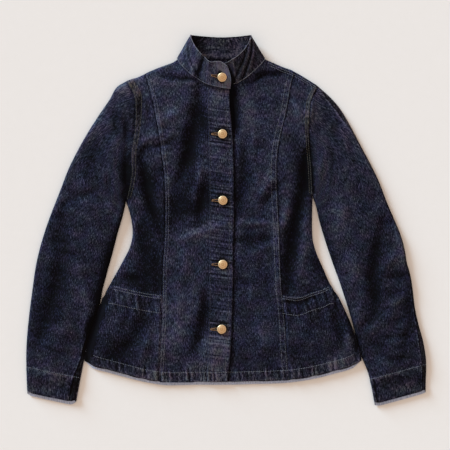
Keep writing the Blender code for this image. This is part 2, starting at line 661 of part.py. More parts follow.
# ------------------------------------------------------------------ sleeves
def armhole_chain(line):
    """The body's own vertices along an armhole, from the shoulder down to the underarm."""
    y = levels(line, front_top)[HEM_ROWS + WAIST_ROWS:][::-1]
    return line(y), y


def unit(way):
    return way / np.hypot(*way)


def inside(edge, edge_share, far, insets, share):
    """Places inside a sleeve edge: square to it by the armhole, in line with the cuff at the end."""
    spot = along(edge, edge_share)
    run = along(edge, edge_share + EDGE_STEP) - along(edge, edge_share - EDGE_STEP)
    across = unit(far - spot)
    square = unit(np.array((-run[1], run[0])))
    square = square * np.sign(square @ across)
    return spot + np.outer(insets, unit(square * (1 - share) + across * share))


def sleeve_places(outer, inner, line, insets):
    """Plan places of a sleeve's rows, from the armhole to the cuff.

    insets(share) gives how far the first columns lie from the outer edge, and the last ones
    from the inner edge; between them the columns of the armhole meet the body's own rows.
    """
    chain_x, chain_y = armhole_chain(line)
    below = chain_y[0] - chain_y
    turn = len(EDGE_INSETS)
    steps = np.arange(1, CHEST_ROWS) / CHEST_ROWS
    curve = chain_x[turn:-1] - (chain_x[turn - 1] + (chain_x[-1] - chain_x[turn - 1]) * steps)
    first, last = insets(0.0)
    head = np.concatenate((first, below[turn:-1], below[-1] - last))
    rows = [np.column_stack((np.interp(head, below, chain_x), chain_y[0] - head))]
    for share in np.linspace(0.0, 1.0, SLEEVE_ROWS + 1)[1:]:
        first, last = insets(share)
        inner_share = through(SECTIONS, share)
        start = inside(outer, share, along(inner, inner_share), first, share)
        end = inside(inner, inner_share, along(outer, share), last, share)
        middle = start[-1] + np.outer(steps, end[0] - start[-1])
        middle[:, 0] += (1 - smooth_step(share, CAP_SHARE)) * curve
        rows.append(np.concatenate((start, middle, end)))
    rows = np.array(rows)
    return rows[..., 0], rows[..., 1]


def upper_insets(seam_in, seam_on_inner):
    """Edge columns of an upper sleeve: its seam on one side, the turn on the other."""
    def insets(share):
        seam = np.interp(share, *np.transpose(seam_in)) + SLEEVE_SEAM_GAP / 2
        beside = np.array((seam, seam + SEAM_COLUMN))
        turn = np.array(EDGE_INSETS)
        return (turn, beside[::-1]) if seam_on_inner else (beside, turn[::-1])
    return insets


def under_insets(seam_in, seam_on_inner):
    """Edge columns of an under sleeve: over one edge as far as the seam, a turn at the other."""
    def insets(share):
        seam = np.interp(share, *np.transpose(seam_in)) - SLEEVE_SEAM_GAP / 2
        over = np.array((seam, OVER_COLUMN * seam, *EDGE_INSETS))
        turn = np.array(EDGE_INSETS)
        return (turn, over[::-1]) if seam_on_inner else (over, turn[::-1])
    return insets


def build_sleeves(collection):
    sleeves = (
        ("left", OUTER_LEFT, INNER_LEFT, left_line, SEAM_IN_LEFT, True, -1, SLEEVE_LEFT_EDGES),
        ("right", OUTER_RIGHT, INNER_RIGHT, right_line, SEAM_IN_RIGHT, False, 1,
         SLEEVE_RIGHT_EDGES),
    )
    for side, outer, inner, line, seam_in, seam_on_inner, sign, edges in sleeves:
        x, y = sleeve_places(outer, inner, line, upper_insets(seam_in, seam_on_inner))
        x[0] += sign * ARMHOLE_GAP / 2
        cloth_piece(f"upper_sleeve_{side}", *skin(x, y, 1, edges),
                    denim(f"upper_sleeve_{side}_denim"), collection)

        x, y = sleeve_places(outer, inner, line, under_insets(seam_in, seam_on_inner))
        x[0] += sign * ARMHOLE_GAP / 2
        layer = np.full(x.shape, -1.0)
        over = slice(-2, None) if seam_on_inner else slice(0, 2)
        layer[:, over] = 1.0
        run = np.array((x[-1] - x[-2], y[-1] - y[-2]))
        run = run / np.hypot(*run)
        x[-1] += HEM_SHOW * run[0]
        y[-1] += HEM_SHOW * run[1]
        cloth_piece(f"under_sleeve_{side}", *skin(x, y, layer, edges),
                    denim(f"under_sleeve_{side}_denim", 1.3), collection)


# ------------------------------------------------------------------ collar
def collar_points(shares_round, shares_up):
    """Outer face of the collar, rows up from the neck seam."""
    stations = np.array(COLLAR_STATIONS)
    number = np.linspace(0.0, 1.0, len(stations))
    columns = [through(np.column_stack((number, column)), shares_round) for column in stations.T]
    bottom = np.stack(columns[:3], axis=-1)
    top = np.stack(columns[3:6], axis=-1)
    bow = columns[6]
    rows = []
    for up in shares_up:
        row = bottom * (1 - up) + top * up
        row[..., 0] += bow * math.sin(math.pi * up)
        rows.append(row)
    return np.array(rows)


def collar_frame(share_round, share_up):
    """Place and directions on the collar's outer face: x to its end, y up it, z outwards."""
    step = FRAME_STEP
    spot = collar_points(np.array([share_round]), [share_up])[0, 0]
    onward = collar_points(np.array([share_round - step]), [share_up])[0, 0] - spot
    upward = collar_points(np.array([share_round]), [share_up + step])[0, 0] - spot
    up = Vector(upward).normalized()
    out = Vector(onward).cross(up).normalized()
    side = up.cross(out)
    frame = Matrix((side, up, out)).transposed().to_4x4()
    frame.translation = Vector(spot) * MM
    return frame


def build_collar(collection):
    points = collar_points(np.linspace(0.0, 1.0, COLLAR_STEPS + 1),
                           np.linspace(0.0, 1.0, COLLAR_ROWS))
    bm = cloth_grid(*points.shape[:2])
    set_place(bm, points)
    bmesh.ops.reverse_faces(bm, faces=bm.faces[:])
    collar = add_object("collar", bm, denim("collar_denim", 1.15), collection)
    wall = collar.modifiers.new("two plies", "SOLIDIFY")
    wall.thickness = TWO_PLIES * MM
    wall.offset = -1.0
    return collar


# ------------------------------------------------------------------ buttons and buttonholes
def build_button(number, frame, shank, material, collection):
    """Domed head on a shank, turned about the button's axis; z = 0 is the ply it sits on."""
    crown = HEAD_GAP + BUTTON_RIM + BUTTON_DOME
    profile = [(BUTTON_RADIUS * math.sin(a), crown - BUTTON_DOME * (1 - math.cos(a)))
               for a in np.radians(DOME_ANGLES)]
    profile += [(BUTTON_RADIUS, HEAD_GAP + BUTTON_RIM / 2), (BUTTON_RADIUS - BUTTON_EDGE, HEAD_GAP),
                (SHANK_RADIUS, HEAD_GAP), (SHANK_RADIUS, -shank), (0.0, -shank)]
    mesh = bpy.data.meshes.new(f"button_{number}")
    mesh.from_pydata([(r * MM, 0.0, z * MM) for r, z in profile],
                     [(k, k + 1) for k in range(len(profile) - 1)], [])
    mesh.materials.append(material)
    button = bpy.data.objects.new(f"button_{number}", mesh)
    button.matrix_world = frame
    collection.objects.link(button)
    turn = button.modifiers.new("turned", "SCREW")
    turn.steps = BUTTON_STEPS
    turn.render_steps = BUTTON_STEPS
    turn.use_merge_vertices = True
    turn.merge_threshold = 0.00001
    turn.use_smooth_shade = True


def keyhole(name, frame, low, high, cutters):
    """Cutter for one buttonhole: a round eye at the button and a straight cut to its left."""
    half = HOLE_SLOT / 2
    start = math.asin(half / HOLE_EYE_RADIUS)
    angles = np.linspace(math.pi + start, 3 * math.pi - start, EYE_STEPS)
    outline = [(HOLE_EYE_RADIUS * math.cos(a), HOLE_EYE_RADIUS * math.sin(a)) for a in angles]
    outline += [(-HOLE_LENGTH, half), (-HOLE_LENGTH, -half)]
    bm = bmesh.new()
    rim = [bm.verts.new((x * MM, y * MM, low * MM)) for x, y in outline]
    base = bm.faces.new(rim)
    grown = bmesh.ops.extrude_face_region(bm, geom=[base], use_keep_orig=True)
    raised = [item for item in grown["geom"] if isinstance(item, bmesh.types.BMVert)]
    bmesh.ops.translate(bm, verts=raised, vec=(0.0, 0.0, (high - low) * MM))
    bmesh.ops.recalc_face_normals(bm, faces=bm.faces[:])
    mesh = bpy.data.meshes.new(name)
    bm.to_mesh(mesh)
    bm.free()
    cutter = bpy.data.objects.new(name, mesh)
    cutter.matrix_world = frame
    cutter.hide_render = True
    cutter.display_type = "WIRE"
    cutters.objects.link(cutter)
    return cutter


def cut(piece, cutter):
    hole = piece.modifiers.new(cutter.name, "BOOLEAN")
    hole.operation = "DIFFERENCE"
    hole.solver = "EXACT"
    hole.object = cutter


def build_fastenings(band, collar, collection, cutters):
    brass = principled("button_brass", (0.62, 0.42, 0.2), 0.35, 1.0)
    tab = collar_frame(*TAB_BUTTON)
    end = collar_frame(*END_UNDER_BUTTON)
    drop = (tab.translation - end.translation).dot(tab.col[2].to_3d()) / MM
    build_button(1, tab, drop - SEAT_GAP, brass, collection)
    cut(collar, keyhole("buttonhole_1", tab, -TAB_CUT_DEPTH, CUT_OVER, cutters))
    shank = BAND_LIFT - STAND_DROP - SEAT_GAP
    for number, (x, y) in enumerate(BAND_BUTTONS, start=2):
        face = skin(np.array([x]), np.array([y]), 1, BODY_EDGES, BAND_LIFT)[0][0]
        frame = Matrix.Translation(Vector(face) * MM)
        build_button(number, frame, shank, brass, collection)
        cut(band, keyhole(f"buttonhole_{number}", frame, -BAND_CUT_DEPTH, CUT_OVER, cutters))


# ------------------------------------------------------------------ jacket
for old in list(bpy.data.objects):
    bpy.data.objects.remove(old)

jacket = bpy.data.collections.new("denim_jacket")
cutter_collection = bpy.data.collections.new("buttonhole_cutters")
bpy.context.scene.collection.children.link(jacket)
bpy.context.scene.collection.children.link(cutter_collection)

build_back(jacket)
front_band = build_fronts(jacket)
build_sleeves(jacket)
collar = build_collar(jacket)
build_fastenings(front_band, collar, jacket, cutter_collection)
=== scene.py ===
import math
from functools import partial

import bmesh
import bpy
import numpy as np
from mathutils import Matrix, Vector
from mathutils.bvhtree import BVHTree


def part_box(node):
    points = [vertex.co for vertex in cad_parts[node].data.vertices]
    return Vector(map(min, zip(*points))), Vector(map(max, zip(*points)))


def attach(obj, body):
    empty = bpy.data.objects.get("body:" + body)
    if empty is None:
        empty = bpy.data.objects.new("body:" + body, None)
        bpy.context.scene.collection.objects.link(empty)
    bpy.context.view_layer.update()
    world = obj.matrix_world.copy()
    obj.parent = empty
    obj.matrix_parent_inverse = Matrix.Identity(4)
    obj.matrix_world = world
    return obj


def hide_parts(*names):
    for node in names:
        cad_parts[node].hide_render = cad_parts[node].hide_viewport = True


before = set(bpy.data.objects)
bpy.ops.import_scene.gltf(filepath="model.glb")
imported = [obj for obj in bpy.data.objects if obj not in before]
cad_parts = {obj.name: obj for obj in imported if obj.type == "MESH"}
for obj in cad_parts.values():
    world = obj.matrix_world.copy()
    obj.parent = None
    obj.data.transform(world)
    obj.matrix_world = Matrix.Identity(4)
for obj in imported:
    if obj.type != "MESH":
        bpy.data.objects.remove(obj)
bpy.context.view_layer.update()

# ---------------------------------------------------------------- back
# One panel of rinsed indigo denim, face down on the table. Its outline is the jacket's own:
# side seams, armholes, shoulders and neck; its turned hem shows its pale inner face.
MM = 0.001  # one millimetre in metres
PLY = 1.1  # thickness of one ply of denim; all sizes below are in mm

ARMHOLE_LEFT = (  # y, x
    (37, -191.4), (66, -184.6), (87, -180.8), (130, -180.4), (174, -174.2), (212, -173),
    (240, -176), (267, -189.6),
)
SIDE_LEFT = (  # y, x
    (-268, -270.3), (-241, -268.2), (-211, -260), (-187, -252), (-160, -240.8), (-123, -222.4),
    (-78, -197.6), (-51, -184), (-30, -179), (-3, -180.4), (20, -185.6), (37, -191.4),
)
ARMHOLE_RIGHT = (  # y, x
    (46.8, 165), (70, 164.4), (98, 163.1), (142, 159.3), (178, 157.4), (208, 158.4), (232, 162),
    (257, 175),
)
SIDE_RIGHT = (  # y, x
    (-263, 258.4), (-243, 254.2), (-217, 246), (-187, 234.3), (-153, 217.8), (-121, 198.6),
    (-91, 185), (-65, 173.6), (-41, 166.2), (-14, 164.2), (15, 164.4), (46.8, 165),
)
HEM = (  # x, y
    (-272, -267.6), (-257, -275.4), (-227, -284.2), (-196, -292.6), (-158, -302), (-128, -307.2),
    (-50, -307.6), (2, -307.8), (53, -306.4), (125, -303.2), (167, -296.6), (208, -286.4),
    (239, -277.4), (258, -267.6),
)
SHOULDER_LEFT = (  # x, y
    (-189.6, 267), (-172, 272.6), (-154, 280.8), (-138, 288.4), (-125, 293.5), (-110, 299),
    (-100, 303), (-92.8, 308),
)
SHOULDER_RIGHT = (  # x, y
    (73.8, 308.5), (87, 302.6), (102, 296), (128, 285.4), (153, 271.4), (175, 257),
)
BACK_NECK = (  # x, y
    (-92.8, 308), (-60, 309.6), (-8, 310), (40, 309.8), (73.8, 308.5),
)
# Sleeve edges run from the shoulder or underarm to the cuff.
OUTER_LEFT = (  # x, y
    (-189.6, 267), (-208.2, 255.4), (-222.4, 231.8), (-243.7, 200.5), (-263.2, 170),
    (-283, 135.2), (-301.3, 98.1), (-316.5, 58.8), (-339.5, -0.7), (-351.8, -38.1),
    (-362.4, -80.5), (-370.4, -134), (-377.1, -187.4), (-381.6, -243.3), (-381.8, -280.7),
    (-379.7, -327),
)
INNER_LEFT = (  # x, y
    (-191.4, 37), (-197, 10.7), (-206.6, -21.9), (-217, -62), (-227.4, -99.5), (-235.8, -131.4),
    (-241.6, -160.6), (-251.4, -187.4), (-259.4, -211.4), (-267.5, -240.6), (-270.6, -261.9),
    (-276.4, -291.4), (-286.7, -346.4),
)
OUTER_RIGHT = (  # x, y
    (175, 257), (196, 238.4), (212.5, 220.5), (236.1, 183.1), (255.6, 146), (273.1, 113.3),
    (292.3, 74), (305.6, 39.2), (320.2, 4.7), (333.5, -27.3), (341, -53.9), (345.4, -80.5),
    (352.2, -104.8), (356.4, -131.4), (361, -168.6), (368.3, -200.7), (376.3, -230),
    (381.6, -262.1), (381, -322.4),
)
INNER_RIGHT = (  # x, y
    (165, 46.8), (170.3, 32), (178, -0.7), (190, -40.6), (203.4, -80.7), (217, -118.1),
    (230, -158), (242.6, -200.7), (250.6, -232.7), (257.4, -256.6), (269.5, -286),
    (277.5, -315.3), (283.6, -349),
)

TURN = 6.0  # plan width of the turn at an outline edge
EDGE_HEIGHT = 3.2  # height of the middle of that turn
END_EDGE_HEIGHT = 2.4  # the same at hem and cuffs
END_REACH = 70.0  # how far from hem or cuff the full height is reached
LEAST_RISE = 0.04  # a turn never closes further than this
HEM_SHOW = 5.8  # the back's hem reaches this far past the front's
HEM_SHOW_RUN = 16.0  # over which that starts beside a side seam
FACING_Y = 250.0  # above it the inside is faced with the outer cloth
FACING_EDGE = 8.0  # over this distance
EDGE_INSETS = (0.0, 0.35, 0.9, 1.7, 2.8, 4.2, 6.0)  # rows of faces in from an outline edge
BODY_EDGE_STEPS = 60
SLEEVE_EDGE_STEPS = 130
PAST_CUFF = 3.0  # a sleeve's edge line goes on this many steps past the cuff
CELL = 3.2  # size of a face on the panels that show
WAVE_SHARES = (1.0, 0.72, 0.53, 0.41)  # lengths of the waves in a puckered row
WAVES_TOGETHER = 2.2  # brings their sum back to about 1
TURNS_EACH = 2  # directions for each size of swell


def through(table, at):
    """Smooth value at the places asked, through the rows (place, value) of a table."""
    places, values = np.array(table, float).T
    slopes = np.gradient(values, places)
    at = np.clip(np.asarray(at, float), places[0], places[-1])
    k = np.clip(np.searchsorted(places, at) - 1, 0, len(places) - 2)
    step = places[k + 1] - places[k]
    s = (at - places[k]) / step
    start = (1 + 2 * s) * (1 - s) ** 2 * values[k] + s * (1 - s) ** 2 * step * slopes[k]
    end = s * s * (3 - 2 * s) * values[k + 1] - s * s * (1 - s) * step * slopes[k + 1]
    return start + end


def along(points, shares):
    """Places at the given shares of the length of a smooth line through the points."""
    points = np.array(points, float)
    lengths = np.hypot(*np.diff(points, axis=0).T)
    travelled = np.concatenate(([0.0], np.cumsum(lengths))) / lengths.sum()
    columns = [through(np.column_stack((travelled, column)), shares) for column in points.T]
    return np.stack(columns, axis=-1)


def smooth_step(value, reach):
    """0 at zero, 1 from reach on, with a soft start and end."""
    s = np.clip(np.asarray(value, float) / reach, 0.0, 1.0)
    return s * s * (3 - 2 * s)


def left_line(y):
    return np.where(y < SIDE_LEFT[-1][0], through(SIDE_LEFT, y), through(ARMHOLE_LEFT, y))


def right_line(y):
    return np.where(y < SIDE_RIGHT[-1][0], through(SIDE_RIGHT, y), through(ARMHOLE_RIGHT, y))


def back_top(x):
    neck = np.where(x < BACK_NECK[0][0], through(SHOULDER_LEFT, x), through(BACK_NECK, x))
    return np.where(x > BACK_NECK[-1][0], through(SHOULDER_RIGHT, x), neck)


def edge_of(places):
    """An edge as a chain of short straight runs, with the cloth on its left."""
    places = np.array(places, float)
    return places[:-1], places[1:]


def traced(line, start, end):
    y = np.linspace(start, end, BODY_EDGE_STEPS)
    return edge_of(np.column_stack((line(y), y)))


def traced_top(table):
    x = np.linspace(table[-1][0], table[0][0], BODY_EDGE_STEPS)
    return edge_of(np.column_stack((x, through(table, x))))


def sleeve_edge(table):
    places = along(table, np.linspace(0.0, 1.0, SLEEVE_EDGE_STEPS))
    return np.vstack((places, places[-1] + PAST_CUFF * (places[-1] - places[-2])))


BODY_LEFT_EDGES = (traced_top(SHOULDER_LEFT),
                   traced(left_line, SIDE_LEFT[-1][0], SIDE_LEFT[0][0]))
BODY_RIGHT_EDGES = (traced_top(SHOULDER_RIGHT),
                    traced(right_line, SIDE_RIGHT[0][0], SIDE_RIGHT[-1][0]))
SLEEVE_LEFT_EDGES = (edge_of(sleeve_edge(OUTER_LEFT)), edge_of(sleeve_edge(INNER_LEFT)[::-1]))
SLEEVE_RIGHT_EDGES = (edge_of(sleeve_edge(OUTER_RIGHT)[::-1]), edge_of(sleeve_edge(INNER_RIGHT)))
BODY_EDGES = BODY_LEFT_EDGES + BODY_RIGHT_EDGES
ALL_EDGES = BODY_EDGES + SLEEVE_LEFT_EDGES + SLEEVE_RIGHT_EDGES
HEM_EDGE = edge_of(np.array(HEM))
CUFF_LEFT_EDGE = edge_of((OUTER_LEFT[-1], INNER_LEFT[-1]))
CUFF_RIGHT_EDGE = edge_of((INNER_RIGHT[-1], OUTER_RIGHT[-1]))
OPEN_ENDS = (HEM_EDGE, CUFF_LEFT_EDGE, CUFF_RIGHT_EDGE)


def nearest(x, y, edges):
    """Plan distance to the nearest of the edges, and the unit direction square to it."""
    place = np.stack((np.ravel(x), np.ravel(y)), axis=-1)
    distance = np.full(len(place), np.inf)
    away = np.zeros_like(place)
    for start, end in edges:
        run = end - start
        square = (run ** 2).sum(axis=1)
        share = ((place[:, None] - start) * run).sum(axis=2) / square
        foot = start + np.clip(share, 0.0, 1.0)[..., None] * run
        offset = place[:, None] - foot
        reach = np.hypot(offset[..., 0], offset[..., 1])
        k = reach.argmin(axis=1)
        closest = reach.min(axis=1)
        leftward = np.column_stack((-run[k, 1], run[k, 0])) / np.sqrt(square[k])[:, None]
        nearer = closest < distance
        distance = np.where(nearer, closest, distance)
        away = np.where(nearer[:, None], leftward, away)
    shape = np.shape(x)
    return distance.reshape(shape), away[:, 0].reshape(shape), away[:, 1].reshape(shape)


def ripple(along_line, seed, longest=19.0):
    """Uneven waves along a line, about -1 to 1: the puckers that a sewn row draws up."""
    draw = np.random.default_rng(seed)
    total = np.zeros(np.shape(along_line))
    for share in WAVE_SHARES:
        wave = 2 * math.pi / (longest * share * draw.uniform(0.92, 1.08))
        total += np.sin(wave * along_line + draw.uniform(0, 2 * math.pi)) * draw.uniform(0.6, 1.0)
    return total / WAVES_TOGETHER


def unevenness(x, y, seed, sizes=(23.0, 31.0, 44.0, 62.0)):
    """Low soft swells of cloth that has been worn and washed, about -1 to 1."""
    draw = np.random.default_rng(seed)
    total = np.zeros(np.shape(x))
    for size in sizes:
        for _ in range(TURNS_EACH):
            turn = draw.uniform(0, math.pi)
            phase = draw.uniform(0, 2 * math.pi)
            total += np.sin(2 * math.pi / size * (x * math.cos(turn) + y * math.sin(turn)) + phase)
    return total / (1.3 * len(sizes))


def rolled(depth, radius):
    """0 at a fold or a cut edge, rising round to 1 at the radius."""
    return np.sqrt(np.clip(1 - (1 - np.clip(depth / radius, 0, 1)) ** 2, 0, 1))


def spaced(start, end, cell):
    """Even steps from start to end, both included, no longer than cell."""
    return np.linspace(start, end, max(2, int(math.ceil(abs(end - start) / cell)) + 1))


def panel_grid(from_line, to_line, columns, top, low_rows, rows, high_rows, bottom=None):
    """Plan places of a panel: columns of (share across, inset), rows from hem to top."""
    bottom = bottom or (lambda x: through(HEM, x))
    all_x, all_y = [], []
    for share, inset in columns:
        def column_x(y, share=share, inset=inset):
            return from_line(y) * (1 - share) + to_line(y) * share + inset

        start, end = HEM[0][1], SHOULDER_LEFT[0][1]
        for _ in range(7):
            start, end = bottom(column_x(start)), top(column_x(end))
        body = np.linspace(start + low_rows[-1], end - high_rows[-1], rows)
        y = np.concatenate((start + np.array(low_rows[:-1]), body,
                            end - np.array(high_rows[-2::-1])))
        all_y.append(y)
        all_x.append(column_x(y))
    return np.stack(all_x, axis=1), np.stack(all_y, axis=1)


def insets_across(from_insets, to_insets, width, cell):
    """Columns of a panel: close together at its two edges, even between them."""
    first, last = from_insets[-1], to_insets[-1]
    shares = spaced(0.0, 1.0, cell / width)[1:-1]
    columns = [(0.0, inset) for inset in from_insets]
    columns += [(share, first * (1 - share) - last * share) for share in shares]
    return columns + [(1.0, -inset) for inset in to_insets[::-1]]


def add(tree, kind, **settings):
    """One shader step with its settings."""
    step = tree.nodes.new(kind)
    for key, value in settings.items():
        setattr(step, key, value)
    return step


def feed(tree, socket, source):
    """Gives a socket a constant or another step's output."""
    if isinstance(source, bpy.types.NodeSocket):
        tree.links.new(source, socket)
    else:
        socket.default_value = source


def sum_of(tree, operation, *terms):
    step = add(tree, "ShaderNodeMath", operation=operation)
    for socket, term in zip(step.inputs, terms):
        feed(tree, socket, term)
    return step.outputs[0]


def placed(tree, vector, turn=0.0, scale=(1.0, 1.0, 1.0)):
    step = add(tree, "ShaderNodeMapping")
    feed(tree, step.inputs["Vector"], vector)
    constants(step, Rotation=(0.0, 0.0, turn), Scale=scale)
    return step.outputs["Vector"]


def noise(tree, vector, scale, detail=2.0, roughness=0.5):
    step = add(tree, "ShaderNodeTexNoise")
    feed(tree, step.inputs["Vector"], vector)
    constants(step, Scale=scale, Detail=detail, Roughness=roughness)
    return step.outputs["Fac"]


def blended(tree, share, first, second, blend="MIX"):
    step = add(tree, "ShaderNodeMix", data_type="RGBA", blend_type=blend)
    for place, source in zip((0, 6, 7), (share, first, second)):
        feed(tree, step.inputs[place], source)
    return step.outputs[2]


def constants(step, **values):
    """Sets a step's own sockets; an underscore stands for a space in their names."""
    for name, value in values.items():
        step.inputs[name.replace("_", " ")].default_value = value


def new_finish(name):
    """A new material, its shader tree and its shader."""
    material = bpy.data.materials.new(name)
    material.use_nodes = True
    tree = material.node_tree
    return material, tree, tree.nodes["Principled BSDF"]


def roughened(tree, shader, height, strength, distance):
    """Gives a finish its fine relief, distance in mm."""
    bump = add(tree, "ShaderNodeBump")
    constants(bump, Strength=strength, Distance=distance * MM)
    feed(tree, bump.inputs["Height"], height)
    feed(tree, shader.inputs["Normal"], bump.outputs["Normal"])


TWILL_STEP = 1.15  # mm between two twill lines
TWILL_TURN = math.radians(27.0)
YARN = 1.9  # width of a yarn's shade; slubs and streaks are longer
SLUB_LONG = 6.6
STREAK_LONG = 5.0
CLOUD = 26.0  # soft clouds of deeper dye
RED_DYE = 17.0  # patches of redder and greener dye, and of warmer and colder wash
COLD_WASH = 24.0
PATCH_SHARE = (2.4, -0.7)  # how sharply a patch starts
YARN_TONES = (  # how far the yarn is up, its colour: from deep shade to worn white
    (0.0, (0.0022, 0.0021, 0.0038)), (0.18, (0.0058, 0.0067, 0.0150)),
    (0.45, (0.0150, 0.0166, 0.0350)), (0.72, (0.036, 0.039, 0.072)), (1.0, (0.092, 0.097, 0.138)),
)


def weave_of_denim():
    """Twill lines, slubs, speckle and clouds, lighter on worn edges, paler and darker by the 'fade'
    points: real fading, painted highlight on ridges, painted shade in troughs, hollows and seam
    folds.
    """
    tree = bpy.data.node_groups.new("rinsed denim", "ShaderNodeTree")
    for name, kind in (("Tint", "Color"), ("Fade", "Float")):
        tree.interface.new_socket(name, in_out="INPUT", socket_type=f"NodeSocket{kind}")
    for name, kind in (("Colour", "Color"), ("Reverse", "Color"), ("Height", "Float")):
        tree.interface.new_socket(name, in_out="OUTPUT", socket_type=f"NodeSocket{kind}")
    given = add(tree, "NodeGroupInput").outputs
    out = add(tree, "NodeGroupOutput").inputs
    cloth_map = add(tree, "ShaderNodeUVMap", uv_map="cloth").outputs["UV"]
    mm = placed(tree, cloth_map, scale=(1000.0, 1000.0, 1000.0))
    slub = noise(tree, placed(tree, mm, 0.0, (1 / YARN, 1 / SLUB_LONG, 1.0)), 1.0)
    streak = noise(tree, placed(tree, mm, TWILL_TURN, (1 / YARN, 1 / STREAK_LONG, 1.0)), 1.0)
    speckle = noise(tree, mm, 1 / YARN, 2.0, 0.6)
    cloud = noise(tree, mm, 1 / CLOUD, 3.0, 0.6)
    twill = add(tree, "ShaderNodeTexWave", wave_type="BANDS", bands_direction="X")
    feed(tree, twill.inputs["Vector"], placed(tree, mm, TWILL_TURN))
    constants(twill, Scale=math.pi / 10 / TWILL_STEP, Distortion=1.6, Detail=1.0)
    twill = twill.outputs["Fac"]
    # 'fade' points: real fading, and painted highlight and painted shade that follow the relief
    fade, worn, warm = (add(tree, "ShaderNodeAttribute", attribute_name=name).outputs["Fac"]
                        for name in ("fade", "worn", "warm"))

    value = given["Fade"]
    for source, weight in ((slub, 1.7), (streak, 1.2), (speckle, 1.5), (cloud, 0.6),
                           (twill, 0.12), (fade, 0.85)):
        centred = sum_of(tree, "SUBTRACT", source, 0.5)
        value = sum_of(tree, "MULTIPLY_ADD", centred, weight, value)
    rub = sum_of(tree, "MULTIPLY", worn, sum_of(tree, "MULTIPLY_ADD", value, 0.8, 0.2))
    value = sum_of(tree, "ADD", value, rub)
    ramp = add(tree, "ShaderNodeValToRGB")
    feed(tree, ramp.inputs["Fac"], value)
    tones = ramp.color_ramp.elements
    for at, _ in YARN_TONES[1:-1]:
        tones.new(at)
    for tone, (at, colour) in zip(tones, YARN_TONES):
        tone.position = at
        tone.color = (*colour, 1.0)
    browned = blended(tree, warm, given["Tint"], (1.25, 1.08, 0.72, 1.0))
    dye = sum_of(tree, "MULTIPLY_ADD", noise(tree, mm, 1 / RED_DYE, 0.0), *PATCH_SHARE)
    dyed = blended(tree, dye, (1.05, 0.91, 1.04, 1.0), (0.95, 1.09, 0.96, 1.0))
    turned_mm = placed(tree, mm, 1.1)
    wash = sum_of(tree, "MULTIPLY_ADD", noise(tree, turned_mm, 1 / COLD_WASH, 0.0), *PATCH_SHARE)
    washed = blended(tree, wash, (1.08, 1.0, 0.92, 1.0), (0.93, 1.0, 1.06, 1.0))
    tints = blended(tree, 1.0, dyed, washed, "MULTIPLY")
    browned = blended(tree, 1.0, browned, tints, "MULTIPLY")
    feed(tree, out["Colour"], blended(tree, 1.0, ramp.outputs["Color"], browned, "MULTIPLY"))
    feed(tree, out["Reverse"],
         blended(tree, value, (0.27, 0.32, 0.44, 1.0), (0.50, 0.57, 0.76, 1.0)))
    height = sum_of(tree, "MULTIPLY", twill, 0.45)
    height = sum_of(tree, "MULTIPLY_ADD", slub, 0.5, height)
    height = sum_of(tree, "MULTIPLY_ADD", streak, 0.5, height)
    feed(tree, out["Height"], height)
    return tree


WEAVE = weave_of_denim()


def denim(name, shade=1.0, warm=0.0, fade=0.45, pale=False):
    """Denim seen from its face, or from its pale reverse."""
    material, tree, shader = new_finish(name)
    weave = add(tree, "ShaderNodeGroup", node_tree=WEAVE)
    constants(weave, Tint=(shade * (1 + warm), shade, shade * (1 - warm), 1.0), Fade=fade)
    colour = weave.outputs["Colour"]
    if pale:
        facing = add(tree, "ShaderNodeAttribute", attribute_name="facing").outputs["Fac"]
        colour = blended(tree, facing, weave.outputs["Reverse"], colour)
    feed(tree, shader.inputs["Base Color"], colour)
    roughened(tree, shader, weave.outputs["Height"], 0.55, 0.35)
    constants(shader, Roughness=0.86, Specular_IOR_Level=0.05, Sheen_Weight=0.015,
              Sheen_Roughness=0.5)
    return material


def solid_from(piece, angle=55.0):
    """Applies a piece's modifiers, so that what is left is its finished closed mesh."""
    deps = bpy.context.evaluated_depsgraph_get()
    mesh = bpy.data.meshes.new_from_object(piece.evaluated_get(deps))
    mesh.name = piece.name
    piece.modifiers.clear()
    piece.data = mesh
    mesh.shade_smooth()
    mesh.set_sharp_from_angle(angle=math.radians(angle))
    return piece


def cloth(name, places, cloth_map, fade, worn, materials, faces_up=True, ply=PLY, reverse=None,
          warm=0.0):
    """A sheet of cloth through rows x columns of places, mm, with its real thickness."""
    rows, columns = places.shape[:2]
    bm = bmesh.new()
    bmesh.ops.create_grid(bm, x_segments=columns - 1, y_segments=rows - 1, size=1.0)
    for vertex, place in zip(bm.verts, places.reshape(-1, 3) * MM):
        vertex.co = place
    bm.verts.index_update()
    spots = cloth_map.reshape(-1, 2) * MM
    layer = bm.loops.layers.uv.new("cloth")
    for face in bm.faces:
        for corner in face.loops:
            corner[layer].uv = spots[corner.vert.index]
    bm.normal_update()
    up = sum(face.normal.z * face.calc_area() for face in bm.faces)
    if reverse if reverse is not None else (up > 0) != faces_up:
        bmesh.ops.reverse_faces(bm, faces=bm.faces[:])
    mesh = bpy.data.meshes.new(name)
    bm.to_mesh(mesh)
    bm.free()
    facing = smooth_step(places[..., 1] - FACING_Y + FACING_EDGE / 2, FACING_EDGE)
    for attribute, values in zip(("fade", "worn", "warm", "facing"), (fade, worn, warm, facing)):
        values = np.broadcast_to(values, (rows, columns)).astype(np.float32).ravel()
        mesh.attributes.new(attribute, "FLOAT", "POINT").data.foreach_set("value", values)
    for material in materials:
        mesh.materials.append(material)
    piece = bpy.data.objects.new(name, mesh)
    bpy.context.scene.collection.objects.link(piece)
    wall = piece.modifiers.new("ply", "SOLIDIFY")
    wall.thickness = ply * MM
    wall.offset = -1.0
    wall.material_offset = 1
    return piece


